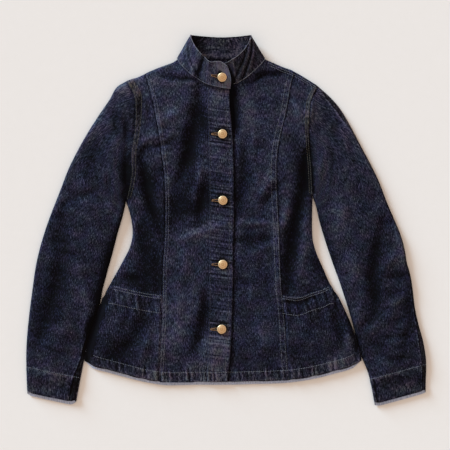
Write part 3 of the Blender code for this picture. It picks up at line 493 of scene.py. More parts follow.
def turned(x, y, edges):
    """How a ply turns at the outline: lean, rise, its direction and the shared height."""
    _, away_x, away_y = nearest(x, y, edges)
    to_edge, _, _ = nearest(x, y, ALL_EDGES)
    to_end, _, _ = nearest(x, y, OPEN_ENDS)
    middle = END_EDGE_HEIGHT + (EDGE_HEIGHT - END_EDGE_HEIGHT) * smooth_step(to_end, END_REACH)
    lean = np.clip(1 - to_edge / TURN, 0.0, 1.0)
    return to_edge, to_end, away_x, away_y, middle, lean, np.sqrt(1 - lean ** 2)


def lain(x, y, edges, side, face, lift=0.0):
    """Places of a ply's outer face, of the top layer (side 1) or the bottom one (-1)."""
    _, _, away_x, away_y, middle, lean, rise = turned(x, y, edges)
    span = np.where(side > 0, face - middle, middle)
    height = middle + side * np.maximum(rise * span, LEAST_RISE)
    return np.stack((x - lift * lean * away_x, y - lift * lean * away_y,
                     height + side * lift * rise), axis=-1)


REVERSE = denim("denim_reverse", pale=True)
BACK_HEM_ROWS = (0.0, 0.8, 2.0, 4.0, 7.0)
BACK_ROWS = 84
BACK_WIDE = 440.0
BACK_CELL = 7.5  # its faces are larger, since little of it shows
HEM_PULLED = 7.0  # the hem is drawn past the front's over this depth
BACK_CREASES = (70.0, 95.0, 130.0)  # sizes of the swells it lies in
CREASE_HIGH = 0.9
CREASE_DARK = 0.25
back_columns = insets_across(EDGE_INSETS, EDGE_INSETS, BACK_WIDE, BACK_CELL)
back_x, back_y = panel_grid(left_line, right_line, back_columns, back_top,
                            BACK_HEM_ROWS, BACK_ROWS, EDGE_INSETS)
from_corner = np.minimum(back_x - back_x[:, :1], back_x[:, -1:] - back_x)
hem_pull = HEM_SHOW * smooth_step(from_corner, HEM_SHOW_RUN)
hem_share = 1 - smooth_step(back_y - through(HEM, back_x), HEM_PULLED)
back_y = back_y - hem_pull * hem_share
back_face = lain(back_x, back_y, BODY_EDGES, -1, 0.0)
to_edge, _, _ = nearest(back_x, back_y, ALL_EDGES)
creases = np.maximum(unevenness(back_x, back_y, 11, BACK_CREASES) - 0.25, 0.0)
back_face[..., 2] += CREASE_HIGH * creases * smooth_step(to_edge - TURN, 20.0)
back = cloth("back_cloth", back_face, np.stack((back_x, back_y), -1),
             0.5 - CREASE_DARK * creases, 0.0, (denim("back_denim", 0.95), REVERSE),
             faces_up=False)
solid_from(back)


HEM_PLY = 1.25  # height that a turned hem adds inside
INNER_FACE = 0.6  # places higher than this are on the inner face


def turned_up(piece, ends, reach):
    """The inner face of a turned hem, a ply higher, with a rounded edge."""
    co = np.empty(len(piece.data.vertices) * 3)
    piece.data.vertices.foreach_get("co", co)
    co = co.reshape(-1, 3)
    x, y, z = co.T / MM
    depth, _, _ = nearest(x, y, ends)
    inner = (z > INNER_FACE) & (depth < reach)
    roll = rolled(depth, 1.6)
    high = HEM_PLY * (0.45 + 0.55 * roll) * (1 - smooth_step(depth - reach + 4.0, 4.0))
    co[inner, 2] += high[inner] * MM
    piece.data.vertices.foreach_set("co", co.ravel())


past_hem = np.array(HEM) - (0.0, HEM_SHOW)
turned_up(back, (edge_of(past_hem),), 20.0)
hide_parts("back")
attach(back, "root")

# ---------------------------------------------------------------- under sleeves
# The under half of each two-piece sleeve lies face down and comes up round the sleeve's
# edge as far as its seam on top. Its cuff end shows a strip of the pale reverse.
SECTIONS = (  # share of the outer edge, share of the inner edge
    (0, 0), (0.17, 0.03), (0.33, 0.065), (0.45, 0.2), (0.6, 0.41), (0.8, 0.705), (1, 1),
)
CAP_SHARE = 0.3  # of the outer edge, over which rows take up the armhole's curve
# How far a sleeve's seam lies inside its edge, on top.
SEAM_IN_LEFT = (  # share of the outer edge, inset
    (0, 2.4), (0.78, 2.4), (0.86, 6), (0.92, 12.5), (0.955, 14.5), (1, 13),
)
SEAM_IN_RIGHT = (  # share of the outer edge, inset
    (0, 1), (0.04, 6), (0.08, 8.4), (0.12, 7.4), (0.17, 2.4), (0.78, 2.4), (0.86, 8.6),
    (0.92, 8.8), (1, 5.5),
)
EDGE_STEP = 0.01  # share of an edge over which its direction is taken
SLEEVE_LONG = 650.0
CUFF_DEEP = 47.0  # from the cuff's end to its row of stitches
ARMHOLE_STEPS = 80
UNDER_SHARES = np.linspace(0.0, 1.0, 150)
UNDER_COLUMNS = 22


def unit(way):
    return way / np.hypot(*way)


def inside(edge, edge_share, far, insets, share):
    """Places inside a sleeve edge: square to it by the armhole, then more and more as the cuff."""
    spot = along(edge, edge_share)
    run = along(edge, edge_share + EDGE_STEP) - along(edge, edge_share - EDGE_STEP)
    across = unit(far - spot)
    square = unit(np.array((-run[1], run[0])))
    square = square * np.sign(square @ across)
    return spot + np.outer(insets, unit(square * (1 - share) + across * share))


def sleeve_places(outer, inner, line, top_y, underarm_y, insets, shares, across):
    """Plan places of a sleeve's rows from the armhole to the cuff, and its cloth map."""
    chain_y = np.linspace(top_y, underarm_y, ARMHOLE_STEPS)
    chain_x = line(chain_y)
    below = top_y - chain_y
    steps = np.linspace(0.0, 1.0, across)[1:-1]
    first, last = insets(0.0)
    middle = first[-1] + (below[-1] - last[0] - first[-1]) * steps
    head = np.concatenate((first, middle, below[-1] - last))
    head_x = np.interp(head, below, chain_x)
    ends = np.interp(middle, (first[-1], below[-1] - last[0]),
                     (head_x[len(first) - 1], head_x[-len(last)]))
    curve = head_x[len(first):-len(last)] - ends
    places = [np.column_stack((head_x, top_y - head))]
    for share in shares[1:]:
        first, last = insets(share)
        inner_share = through(SECTIONS, share)
        start = inside(outer, share, along(inner, inner_share), first, share)
        end = inside(inner, inner_share, along(outer, share), last, share)
        middle = start[-1] + np.outer(steps, end[0] - start[-1])
        middle[:, 0] += (1 - smooth_step(share, CAP_SHARE)) * curve
        places.append(np.concatenate((start, middle, end)))
    places = np.array(places)
    step_across = np.hypot(*np.moveaxis(np.diff(places, axis=1), -1, 0))
    u = np.concatenate((np.zeros((len(shares), 1)), np.cumsum(step_across, axis=1)), axis=1)
    middle_line = places[:, places.shape[1] // 2]
    v = np.concatenate(([0.0], np.cumsum(np.hypot(*np.diff(middle_line, axis=0).T))))
    down = -np.broadcast_to(v[:, None], u.shape)
    cloth_map = np.stack((u - u.mean(axis=1, keepdims=True), down), -1)
    return places[..., 0], places[..., 1], cloth_map


CUFF_ROUND = 11.0  # how far in the cuff's corners start to round off
CUFF_ROUND_RUN = 18.0  # and how far up the sleeve that is felt
CUFF_BOW = 1.2  # the middle of the end reaches this much further
CUFF_CORNERS = {"left": (2.6, 8.0), "right": (1.0, 2.8)}  # pulled back at outer and inner edge
RUN_ROWS = 9  # rows over which the sleeve's direction at the cuff is taken


def rounded_end(x, y, to_end, edges, corners):
    """Pulls the cuff's corners back, so that the end is a little round as worn cuffs are."""
    run = unit(np.array((x[-1] - x[-RUN_ROWS], y[-1] - y[-RUN_ROWS])))
    across = np.linspace(0.0, 1.0, x.shape[1])
    from_side, _, _ = nearest(x[-1], y[-1], edges)
    pull = np.where(across < 0.5, *corners) * np.clip(1 - from_side / CUFF_ROUND, 0, 1) ** 2
    share = 1 - smooth_step(to_end, CUFF_ROUND_RUN)
    shift = share[:, None] * (CUFF_BOW * np.sin(math.pi * across) - pull)
    return x + run[0] * shift, y + run[1] * shift


UNDER_OVERLAP = 2.2  # seam allowance that goes on under the upper sleeve
SLEEVES = (
    ("left", OUTER_LEFT, INNER_LEFT, left_line, SHOULDER_LEFT[0][1], SIDE_LEFT[-1][0],
     SEAM_IN_LEFT, True, SLEEVE_LEFT_EDGES, CUFF_LEFT_EDGE),
    ("right", OUTER_RIGHT, INNER_RIGHT, right_line, SHOULDER_RIGHT[-1][1], SIDE_RIGHT[-1][0],
     SEAM_IN_RIGHT, False, SLEEVE_RIGHT_EDGES, CUFF_RIGHT_EDGE),
)


# ---------------------------------------------------------------- how the top layer lies
# Everything on top shares one lie: flat at hem and cuffs, fuller inside, with the folds that
# the jacket falls into when it is laid down and smoothed by hand. Heights are in mm.
# Each fold's paler or darker figure is painted light: painted shade in a trough, painted highlight
# on a ridge, with some real fading.
FOLDS = (  # rise, half width, how much paler or darker, x and y of its places
    # chest and waist, left of the band
    (-4.6, 13, -0.56, -49, 256, -54, 220, -66, 168, -76, 118, -90, 76),
    (-2.4, 12, -0.34, -52, 196, -62, 150, -72, 104, -88, 82),
    (-2, 8, -0.26, -42, 216, -44, 180, -46, 168),
    (-2.2, 5, -0.34, -94, 160, -122, 143, -148, 140),
    (-4.8, 9, -0.66, -150, 144, -163, 122, -158, 94, -151, 58, -139, 22, -128, -4, -121, -38),
    (-2.4, 12, -0.32, -146, 88, -140, 68, -122, 84),
    (-2.6, 16, -0.52, -158, 16, -152, -52, -146, -96, -132, -134),
    (-2.4, 8, -0.26, -134, -60, -130, -100, -130, -136),
    (-3.4, 11, -0.62, -36, 84, -44, 40, -54, -4),
    (-1.4, 18, -0.40, -72, 58, -96, 34, -100, 2),
    (-1.2, 12, -0.24, -112, -26, -104, -6, -74, 14),
    (-1.8, 6, -0.40, -160, 248, -163, 220, -164, 184),
    (-1.2, 8, -0.22, -146, 100, -128, 96, -106, 92),
    (1.6, 6.5, 0.16, -150, 226, -126, 190, -124, 168),
    (1.8, 9, 0.16, -136, 180, -104, 199, -80, 214),
    (2, 8, 0.12, -164, 140, -144, 156, -122, 164),
    (1.4, 12, 0.10, -134, 128, -122, 126, -112, 122),
    (1.4, 8, 0.06, -116, 80, -108, 72, -102, 66),
    (1.2, 11, 0.14, -136, 262, -104, 264, -66, 262),
    (2.2, 6, 0.24, -48, 112, -51, 84, -56, 56),
    (2.6, 8.5, 0.38, -88, -37, -62, -27, -30, -18, 2, -4),
    (1.4, 9, 0.10, -82, -50, -76, -78, -80, -116),
    (-2.2, 12, -0.36, -190, -112, -168, -124, -146, -140),
    (1.6, 8, 0.10, -52, -132, -50, -156, -56, -182),
    (1.4, 14, 0.18, -178, 268, -160, 262, -140, 268),
    # the band itself
    (0.6, 16, 0.20, -10, -66, 2, -90, 14, -104),
    (0.6, 18, 0.26, -18, 250, -18, 232, -20, 216),
    (0.4, 14, 0.18, -20, 128, -16, 116, -12, 108),
    (0.4, 12, 0.32, 2, -186, -14, -240, -18, -258),
    (-0.3, 14, -0.14, -16, 84, -16, 72, -14, 62),
    # right of the band
    (-3.2, 10, -0.44, 34, 142, 34, 104, 28, 56, 24, 8),
    (-2.6, 7.5, -0.28, 112, 76, 94, 62, 80, 42, 68, 22),
    (-5.2, 12, -0.72, 152, 126, 151, 84, 141, 36, 130, -12, 123, -56, 118, -104, 116, -138),
    (-2.6, 9, -0.60, 160, 150, 158, 100, 159, 52),
    (-2, 12, -0.32, 124, 156, 142, 124, 146, 76),
    (-2.4, 9, -0.36, 22, -36, 54, -38, 88, -36),
    (-1, 8, -0.12, 72, -66, 66, -82, 64, -100),
    (-1.6, 7, -0.20, 22, -84, 22, -110, 24, -136),
    (1.8, 14, 0.20, 40, 226, 44, 196, 40, 176),
    (1.4, 7, 0.20, 58, 110, 60, 84, 58, 62),
    (1.2, 7, 0.02, 114, 122, 114, 96, 108, 76),
    (2.2, 7, 0.24, 130, 236, 136, 210, 146, 184),
    (2.2, 7, 0.30, 166, 240, 161, 212, 156, 188),
    (1.8, 6, 0.20, 92, 86, 74, 62, 60, 36),
    (1.5, 10, 0.26, 122, 44, 109, 4, 98, -34, 95, -84, 98, -146),
    (1.2, 8, 0, 96, 44, 92, 10, 92, -26),
    (1.8, 7, 0.18, 24, -6, 54, -5, 86, -6),
    (1.4, 8, 0.16, 50, -60, 64, -56, 78, -52),
    (1.4, 14, 0.22, 64, -184, 70, -214, 72, -240),
    (1.8, 8, 0.24, 153, 44, 152, -10, 150, -60, 142, -104),
    (-1.8, 8, -0.26, 84, -58, 90, -80, 92, -112),
    (0.8, 8, 0.16, 106, 150, 112, 176, 116, 200),
    (0.6, 7, 0.14, 158, 206, 160, 194, 160, 182),
    (0.4, 5, 0.14, 116, 34, 113, 6, 110, -20),
    (-1, 12, -0.20, -44, 98, -62, 82, -78, 64),
    (-0.8, 8, -0.14, -54, 244, -50, 230, -46, 216),
    (0.6, 8, 0.18, 30, 212, 30, 186, 30, 158),
    (0.6, 9, 0.16, 26, 248, 38, 240, 50, 232),
    (0.4, 6, 0.20, 116, 50, 120, 28, 112, -4),
    (-0.6, 7, -0.20, -190, 236, -184, 210, -180, 190),
    (-0.8, 9, -0.20, 112, 284, 132, 276, 146, 264),
    (0.5, 5, 0.24, 168, -16, 171, -44, 178, -66),
    (0.5, 5, 0.24, -173, 8, -172, -28, -178, -62),
    (0.6, 8, 0.20, -176, 158, -174, 130, -174, 104),
    (-0.6, 6, -0.22, -40, 206, -38, 176, -38, 144),
    (-0.6, 22, -0.34, -66, 52, -64, 30, -62, 10),
    (-0.8, 8, -0.20, -136, 52, -140, 40, -138, 22),
    # under the collar
    (-2.8, 3.4, -0.66, -122, 276, -92, 272, -60, 269),
    (-3.4, 5, -0.66, 42, 262, 68, 276, 112, 281),
    # hips
    (-4.2, 14, -0.32, -152, -164, -164, -206, -188, -240, -206, -264),
    (-1.6, 10, -0.12, -182, -164, -190, -196, -200, -220),
    (-2.2, 7, -0.34, -198, -110, -180, -109, -156, -114),
    (-3.8, 9.5, -0.52, -40, -138, -44, -190, -52, -226, -68, -252),
    (-1.4, 12, -0.04, -84, -250, -92, -272, -90, -290),
    (1.8, 16, 0.30, -92, -134, -94, -190, -104, -262),
    (2, 18, 0.28, -34, -216, -28, -252, -26, -296),
    (2, 8, 0.24, -130, -176, -126, -226, -128, -290),
    (2.4, 7, 0.12, -146, -212, -154, -240, -162, -264),
    (1.4, 7, 0.20, -134, -144, -122, -150, -116, -172),
    (-2, 6, -0.10, 15, -226, 14, -256, 13, -290),
    (-2.6, 5.5, -0.42, 110, -156, 138, -156, 166, -147),
    (-1.6, 8, -0.26, 112, -164, 114, -184, 112, -200),
    (-1.6, 12, -0.22, 172, -150, 178, -180, 160, -210),
    (-3.2, 8, -0.42, 204, -164, 213, -198, 221, -232),
    (-2.2, 9, -0.30, 168, -60, 180, -96, 196, -128),
    (-1.2, 16, -0.12, 112, -248, 140, -250, 170, -246),
    (-1, 12, -0.10, 58, -266, 82, -268, 102, -264),
    (2.2, 8, 0.28, 234, -212, 236, -228, 236, -246),
    (1, 9, 0.30, 186, -276, 214, -268, 242, -256),
    (-0.6, 8, -0.18, -214, -262, -200, -270, -186, -276),
    (0.3, 5, 0.30, 2, -200, 0, -245, -2, -290),
    (0.8, 7, 0.30, -136, -280, -137, -292, -137, -304),
    (0.6, 12, 0.22, -64, -264, -66, -282, -64, -298),
    (0.6, 10, 0.22, -36, -276, -20, -284, -8, -294),
    (0.6, 8, 0.16, -4, -92, 6, -100, 20, -92),
    (-0.6, 10, -0.18, -162, -120, -150, -134, -140, -146),
    (-0.6, 10, -0.16, 124, -132, 150, -136, 176, -122),
    (0.6, 9, 0.22, 196, -258, 214, -272, 236, -264),
    # left sleeve
    (-1.2, 7, -0.22, -216, 184, -215, 166, -212, 150),
    (0.6, 7, 0.14, -232, 212, -226, 200, -220, 186),
    (0.6, 7, 0.14, -326, 44, -320, 30, -314, 14),
    (0.6, 7, 0.15, -296, -274, -290, -260, -286, -244),
    (2.2, 11, 0.50, -180, 268, -190, 258, -206, 240),
    (-3.4, 16, -0.44, -196, -238, -216, -252, -234, -268),
    (1.2, 9, 0.22, -234, 200, -256, 168, -284, 118),
    (-3.6, 7.5, -0.90, -192, 134, -191, 104, -189, 74, -191, 40, -192, 22),
    (-2, 6, -0.40, -194, 204, -190, 170, -188, 140),
    (-1.4, 7, -0.32, -208, 210, -210, 192, -206, 164),
    (-2.2, 16, -0.32, -252, 164, -256, 106, -252, 80),
    (-2.2, 7, -0.28, -318, 6, -304, 36, -276, 46, -240, 62),
    (-1.6, 12, -0.36, -312, 8, -312, -28, -306, -60),
    (-1.2, 7, -0.18, -228, 84, -226, 70, -222, 46),
    (-3.8, 15, -0.50, -322, -44, -318, -92, -330, -146, -344, -192, -358, -236),
    (-3, 9, -0.86, -196, 6, -209, -30, -221, -68, -231, -110, -243, -160, -256, -210, -267, -262),
    (-1.2, 8, -0.80, -234, -150, -248, -187, -260, -225, -267, -262),
    (-1, 9, -0.22, -286, -296, -290, -320, -294, -344),
    (-1, 6, -0.22, -362, -264, -336, -268, -306, -264),
    (1.6, 9, 0.10, -222, 170, -216, 130, -218, 100),
    (1.4, 10, 0.10, -220, 64, -216, 40, -224, 10),
    (1.4, 10, 0.16, -292, -92, -280, -98, -264, -92),
    (1.4, 8, 0.22, -358, -30, -364, -60, -370, -104),
    (2, 10, 0.26, -300, -132, -278, -138, -264, -166, -272, -214),
    (1.2, 9, 0.14, -322, -246, -300, -248, -282, -246),
    (1, 10, 0.14, -338, -200, -312, -206, -290, -196),
    (0.4, 20, 0.16, -356, -262, -334, -288, -310, -300),
    # right sleeve
    (-1.4, 8, -0.14, 214, 190, 210, 172, 212, 150),
    (-4, 12, -0.50, 302, 2, 290, -40, 284, -76, 282, -112, 286, -152, 280, -184, 262, -202),
    (-2.2, 6, -0.26, 300, -110, 322, -108, 346, -106),
    (-2, 10, -0.34, 352, -130, 352, -170, 362, -204),
    (-2, 9, -0.24, 346, -208, 342, -232, 336, -256),
    (-2, 6, -0.26, 300, -268, 326, -268, 352, -262),
    (-1.2, 8, -0.20, 264, -242, 284, -236, 306, -228),
    (-1, 7, -0.30, 294, -312, 320, -306, 350, -300),
    (-1, 8, -0.24, 368, -290, 372, -306, 370, -318),
    (-1.6, 8, -0.14, 184, 236, 196, 216, 208, 190),
    (-1.2, 12, -0.10, 248, 64, 246, 32, 244, 0),
    (2, 11, 0.16, 188, 142, 181, 112, 176, 74),
    (1.2, 8, 0.28, 212, 232, 236, 200, 262, 150, 286, 96, 300, 60),
    (1.2, 8, 0.34, 322, -2, 332, -40, 340, -88),
    (1.6, 14, 0.30, 220, 40, 220, 10, 214, -30),
    (2, 13, 0.24, 240, -62, 242, -96, 240, -128),
    (2, 11, 0.22, 258, -160, 252, -180, 246, -202),
    (2, 9, 0.10, 326, -62, 314, -76, 300, -94),
    (1.8, 12, 0.08, 342, -132, 324, -158, 312, -180, 276, -210),
    (0.9, 10, 0.16, 326, -320, 340, -312, 354, -308),
    (-1.2, 4.5, -0.75, 214, -122, 227, -158, 238, -200, 248, -233, 259, -266, 268, -290),
    (-1, 6, -0.50, 168, 30, 176, 0, 186, -34, 199, -74, 209, -104),
)
CREASES = (  # smaller ones between them: rise, half width, x and y of three places
    (-0.9, 4, -151, 232, -147, 214, -150, 196), (0.7, 4, -112, 214, -101, 203, -88, 198),
    (-0.8, 4, -140, 190, -126, 180, -112, 176), (0.9, 5, -66, 62, -60, 45, -58, 22),
    (-0.9, 4, -106, 40, -98, 26, -92, 12), (0.8, 4, -118, -68, -104, -78, -90, -92),
    (-0.8, 4, -74, -62, -62, -84, -58, -108), (0.8, 5, -60, -120, -66, -150, -70, -186),
    (-0.7, 4, -100, -140, -98, -176, -104, -206), (0.8, 4, 46, 196, 52, 168, 50, 140),
    (-0.8, 4, 62, 150, 58, 118, 62, 92), (0.8, 4, 84, 108, 78, 84, 62, 60),
    (-0.7, 3.5, 30, 6, 52, 8, 82, 4), (-0.7, 3.5, 28, -12, 52, -14, 84, -10),
    (0.7, 4, 36, -96, 48, -122, 44, -160), (-0.7, 4, 80, -90, 78, -128, 86, -160),
    (0.5, 4, 60, -196, 68, -226, 66, -262), (0.8, 4, -330, -40, -306, -48, -276, -44),
    (-0.9, 3.5, -318, -52, -296, -62, -266, -60), (-0.8, 3.5, -332, 18, -308, 8, -280, 12),
    (0.8, 4, -322, 40, -298, 46, -264, 38), (-0.8, 3.5, -276, -92, -262, -108, -250, -112),
    (0.8, 4, -300, -110, -282, -130, -262, -136), (-0.8, 3.5, -346, -240, -322, -250, -296, -246),
    (0.7, 4, -352, -262, -328, -270, -302, -262), (-0.7, 4, -240, 176, -226, 150, -218, 118),
    (0.7, 4, -222, 190, -212, 160, -206, 130), (0.8, 4, 212, 180, 226, 156, 232, 126),
    (-0.8, 4, 196, 150, 204, 118, 202, 88), (-0.8, 4, 250, 60, 262, 36, 258, 6),
    (0.8, 4, 226, 66, 240, 40, 246, 12), (-1, 3.5, 344, -128, 322, -138, 300, -136),
    (0.9, 4, 348, -142, 326, -154, 300, -160), (-0.9, 3.5, 352, -176, 330, -188, 306, -188),
    (-0.9, 3.5, 286, -214, 312, -222, 348, -216), (0.8, 3.5, 284, -226, 312, -232, 350, -226),
    (-0.9, 3.5, 290, -252, 318, -262, 352, -256), (0.7, 3.5, 280, -264, 306, -272, 340, -268),
)
FADE = 0.46  # how pale the cloth is away from folds; 0 is deepest, 1 is white
FADE_WIDTH = 1.3  # the paler or darker cloth reaches this much further than a fold
# a small crease is painted paler where it rises and darker where it sinks
CREASE_PAINTED_SHADE = 4.0  # height of a small crease that takes the cloth to white
FOLD_WANDER = 3.5  # a fold's edge wanders this far
FADED_HIGH = 0.07  # the chest is this much paler than the hips
CHEST_Y, CHEST_RUN = 40.0, 180.0
SOFT_LOW = 0.8  # a deep trough flattens out over this height
LAID_HEIGHT = 8.4  # outer face of the top layer, away from hem, cuffs and folds
END_HEIGHT = 5.2  # the same at hem and cuffs
SWELL = 2.6  # more height well inside the outline
SWELL_REACH = 55.0
LOWEST_LAY = 3.6  # deepest that a trough sinks the outer face
UNEVEN = 0.32  # small swells all over
FOLDS_AT_END = 0.25  # share of a fold's rise that is left at hem and cuffs
FOLD_REACH = 2.6  # a fold is felt as far as this many of its half widths
FOLD_TAPER = (0.45, 0.3)  # its strength at its ends, and the share over which that grows
OVER_BACK = 2.5  # no outer face on top lies lower than this, clear of the back


def bell(distance, width):
    """1 at no distance, fading softly over the width."""
    return np.exp(-(distance / width) ** 2)


def bowed(x, y, places, width):
    """1 on a smooth line through the places, fading over the width beside it and to its ends."""
    places = np.array(places, float)
    reach = FOLD_REACH * width
    low, high = places.min(axis=0) - reach, places.max(axis=0) + reach
    near = (x > low[0]) & (x < high[0]) & (y > low[1]) & (y < high[1])
    strength = np.zeros(np.shape(x))
    if near.any():
        line = along(places, np.linspace(0.0, 1.0, 5 * len(places)))
        start, run = line[:-1], np.diff(line, axis=0)
        offset = np.stack((x[near], y[near]), axis=-1)[:, None] - start
        share = np.clip((offset * run).sum(axis=2) / (run ** 2).sum(axis=1), 0.0, 1.0)
        offset = offset - share[..., None] * run
        reach = np.hypot(offset[..., 0], offset[..., 1])
        k = reach.argmin(axis=1)
        travelled = (k + share[np.arange(len(k)), k]) / len(run)
        from_end = smooth_step(np.minimum(travelled, 1 - travelled), FOLD_TAPER[1])
        taper = FOLD_TAPER[0] + 0.55 * from_end
        strength[near] = taper * bell(reach.min(axis=1), width * (0.4 + 0.6 * taper))
    return strength


class Lie:
    """Height of the top layer's outer face over plan places, and its colour there: real wear and
    fading, painted shade in troughs and painted highlight on ridges.
    """

    def __init__(self, x, y, edges, seed):
        self.x, self.y, self.edges = x, y, edges
        (self.to_edge, self.to_end, self.away_x, self.away_y, self.middle,
         self.lean, self.rise) = turned(x, y, edges)
        open_up = smooth_step(self.to_end, END_REACH)
        raised = LAID_HEIGHT - END_HEIGHT + SWELL * smooth_step(self.to_edge, SWELL_REACH)
        self.fade = FADE + FADED_HIGH * np.clip((y - CHEST_Y) / CHEST_RUN, -1, 1)
        folds, small = np.zeros(np.shape(x)), np.zeros(np.shape(x))
        uneven_x = x + FOLD_WANDER * unevenness(x, y, 7)
        uneven_y = y + FOLD_WANDER * unevenness(x, y, 8)
        for rise, width, paler, *places in FOLDS:
            places = np.reshape(places, (-1, 2))
            folds += rise * bowed(x, y, places, width)
            # painted shade in the fold's trough, painted highlight on its ridge
            self.fade += paler * bowed(uneven_x, uneven_y, places, FADE_WIDTH * width)
        folds *= FOLDS_AT_END + (1 - FOLDS_AT_END) * open_up
        for rise, width, *places in CREASES:
            small += rise * bowed(x, y, np.reshape(places, (3, 2)), width)
        small = small + UNEVEN * unevenness(x, y, seed)
        over = END_HEIGHT + raised * open_up + folds - LOWEST_LAY
        self.face = LOWEST_LAY + np.logaddexp(0.0, over / SOFT_LOW) * SOFT_LOW + small
        # painted highlight where small creases and swells rise, painted shade where they sink
        self.fade += small / CREASE_PAINTED_SHADE
        self.worn, self.warm, self.lift = (np.zeros(np.shape(x)) for _ in range(3))

    def raise_by(self, height, fade_and_shade=0.0):
        """Lifts the cloth; the second figure is how much paler it gets for each mm up and darker
        for each mm down: partly real fading on crests, partly painted highlight and painted shade.
        """
        self.lift = self.lift + height
        self.fade = self.fade + fade_and_shade * height

    def wear(self, amount):
        """Rubs the cloth pale, where it isn't paler already."""
        self.worn = np.maximum(self.worn, amount)

    def brown(self, amount):
        """Gives the cloth a warmer tint."""
        self.warm = np.maximum(self.warm, amount)

    def places(self, lift=0.0):
        out = self.lift + lift
        span = self.face - self.middle
        height = self.middle + np.maximum(self.rise * span, LEAST_RISE)
        return np.stack((self.x - out * self.lean * self.away_x,
                         self.y - out * self.lean * self.away_y,
                         np.maximum(height + out * self.rise, OVER_BACK)), axis=-1)


FOLD_DOWN = 0.75  # a seam's fold lies this much lower than the cloth beside it


def over_seam(depth, raised, width):
    """Lift of the side of a seam that is turned under and stitched down; 0 at its fold."""
    fold = rolled(depth, 1.1)
    return (raised + FOLD_DOWN) * fold - FOLD_DOWN - raised * smooth_step(depth - width, 4.0)


def under_seam(depth, sunk=0.95, width=2.6):
    """Lift of the side that goes under; depth is negative under the other side."""
    return -sunk * (1 - smooth_step(depth, width))


def stitch_line(distance, sink=0.4, width=1.1):
    """Groove that a row of stitches pulls down."""
    return -sink * bell(distance, width)


UNDER_OVER = 5  # columns of an under sleeve that lie on top
UNDER_TUCKED = (-1.5, -1.4, -0.5, 0.0, 0.0)  # how much lower they lie, from the seam out
UNDER_SWELLS = (60.0, 80.0, 110.0)
# painted shade on an under sleeve's columns that lie on top, beside the seam
UNDER_PAINTED_SHADE = {"left": 0.30, "right": 0.2}  # they lie in the shade of the seam
CUFF_SHOW = 6.2  # the under sleeve's end reaches this far past the upper one's
CUFF_TURNED = 14.0


def under_insets(seam_in, seam_on_inner):
    def insets(share):
        seam = np.interp(share, *np.transpose(seam_in))
        over = np.array((seam + UNDER_OVERLAP, seam + 0.7, seam - 0.3, 0.62 * seam, 0.28 * seam,
                         *EDGE_INSETS))
        turn = np.array(EDGE_INSETS)
        return (turn, over[::-1]) if seam_on_inner else (over, turn[::-1])
    return insets


for (side, outer, inner, line, top_y, underarm_y, seam_in, on_inner, edges, cuff) in SLEEVES:
    x, y, cloth_map = sleeve_places(outer, inner, line, top_y, underarm_y,
                                    under_insets(seam_in, on_inner), UNDER_SHARES, UNDER_COLUMNS)
    over = slice(-UNDER_OVER, None) if on_inner else slice(0, UNDER_OVER)
    x, y = rounded_end(x, y, (1 - UNDER_SHARES) * SLEEVE_LONG, edges, CUFF_CORNERS[side])
    run = unit(np.array((x[-1] - x[-2], y[-1] - y[-2])))
    beneath = np.ones(x.shape[1])
    beneath[over] = 0.0
    x[-1] += CUFF_SHOW * run[0] * beneath
    y[-1] += CUFF_SHOW * run[1] * beneath
    face = lain(x, y, edges, -1, 0.0)
    to_edge, _, _ = nearest(x, y, ALL_EDGES)
    creases = np.maximum(unevenness(x, y, 12, UNDER_SWELLS) - 0.2, 0.0)
    face[..., 2] += CREASE_HIGH * creases * smooth_step(to_edge - TURN, 14.0)
    top = Lie(x[:, over], y[:, over], edges, 21)
    fade = 0.5 - CREASE_DARK * creases
    # those columns are painted darker and browner, as painted shade
    fade[:, over] = top.fade - UNDER_PAINTED_SHADE[side]
    brown = np.zeros(x.shape)
    brown[:, over] = 1.0
    tucked = np.array(UNDER_TUCKED)
    top.raise_by(tucked[::-1] if on_inner else tucked)
    face[:, over] = top.places()
    under = cloth(f"under_sleeve_{side}_cloth", face, cloth_map, fade, 0.0,
                  (denim(f"under_sleeve_{side}_denim", 0.92), REVERSE), faces_up=False,
                  warm=brown)
    solid_from(under)
    turned_up(under, (edge_of(np.stack((x[-1], y[-1]), -1)),), CUFF_TURNED)
    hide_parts(f"under_sleeve_{side}")
    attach(under, "root")

# ---------------------------------------------------------------- side fronts
# The side fronts run from shoulder to hem between the princess seam and the armhole and side
# seam. Their princess edge lies under the centre fronts; the armhole edge is felled over the
# sleeve.
PRINCESS_LEFT = (  # y, x
    (-312, -128), (-254, -125), (-201, -122.5), (-131, -121), (-80, -120), (-41, -117), (0, -116),
    (87, -118), (152, -126), (187, -131.5), (225, -139), (263, -149), (282, -155),
)
PRINCESS_RIGHT = (  # y, x
    (-312, 119.5), (-281, 117.5), (-227, 113.7), (-174, 110.5), (-134, 106), (-80, 103),
    (-8, 100.4), (76, 96.6), (110, 96.6), (144, 100), (178, 107.5), (203, 113.5), (229, 118.5),
    (254, 122.5), (284, 131),
)
NECK_LEFT = (  # x, y
    (-92.8, 308), (-85.6, 295.7), (-69.4, 279.8), (-50.8, 266.5), (-36.2, 259.4), (-12.3, 253.2),
    (7.1, 249.8),
)
NECK_RIGHT = (  # x, y
    (-36, 250), (7, 255), (21, 259.5), (30.5, 265.5), (43.8, 275.8), (57.1, 287.8), (68, 300.4),
    (73.8, 308.5),
)
POCKET_TOP = (  # x, y
    (-219, -122.3), (-185, -129.9), (-156, -136.1), (-121, -141), (107, -141.5), (123, -144.1),
    (136, -145), (147, -142.4), (157, -138.2), (172, -133.3), (184, -129.7), (198, -122.6),
)
NECK_TUCK = 5.0  # the fronts go on this far inside the collar
NECK_TUCK_RUN = 12.0
SEAM_UNDER = 3.0  # allowance that goes on under the stitched side of a seam
HEM_DEEP = 18.6  # from hem edge to its row of stitches
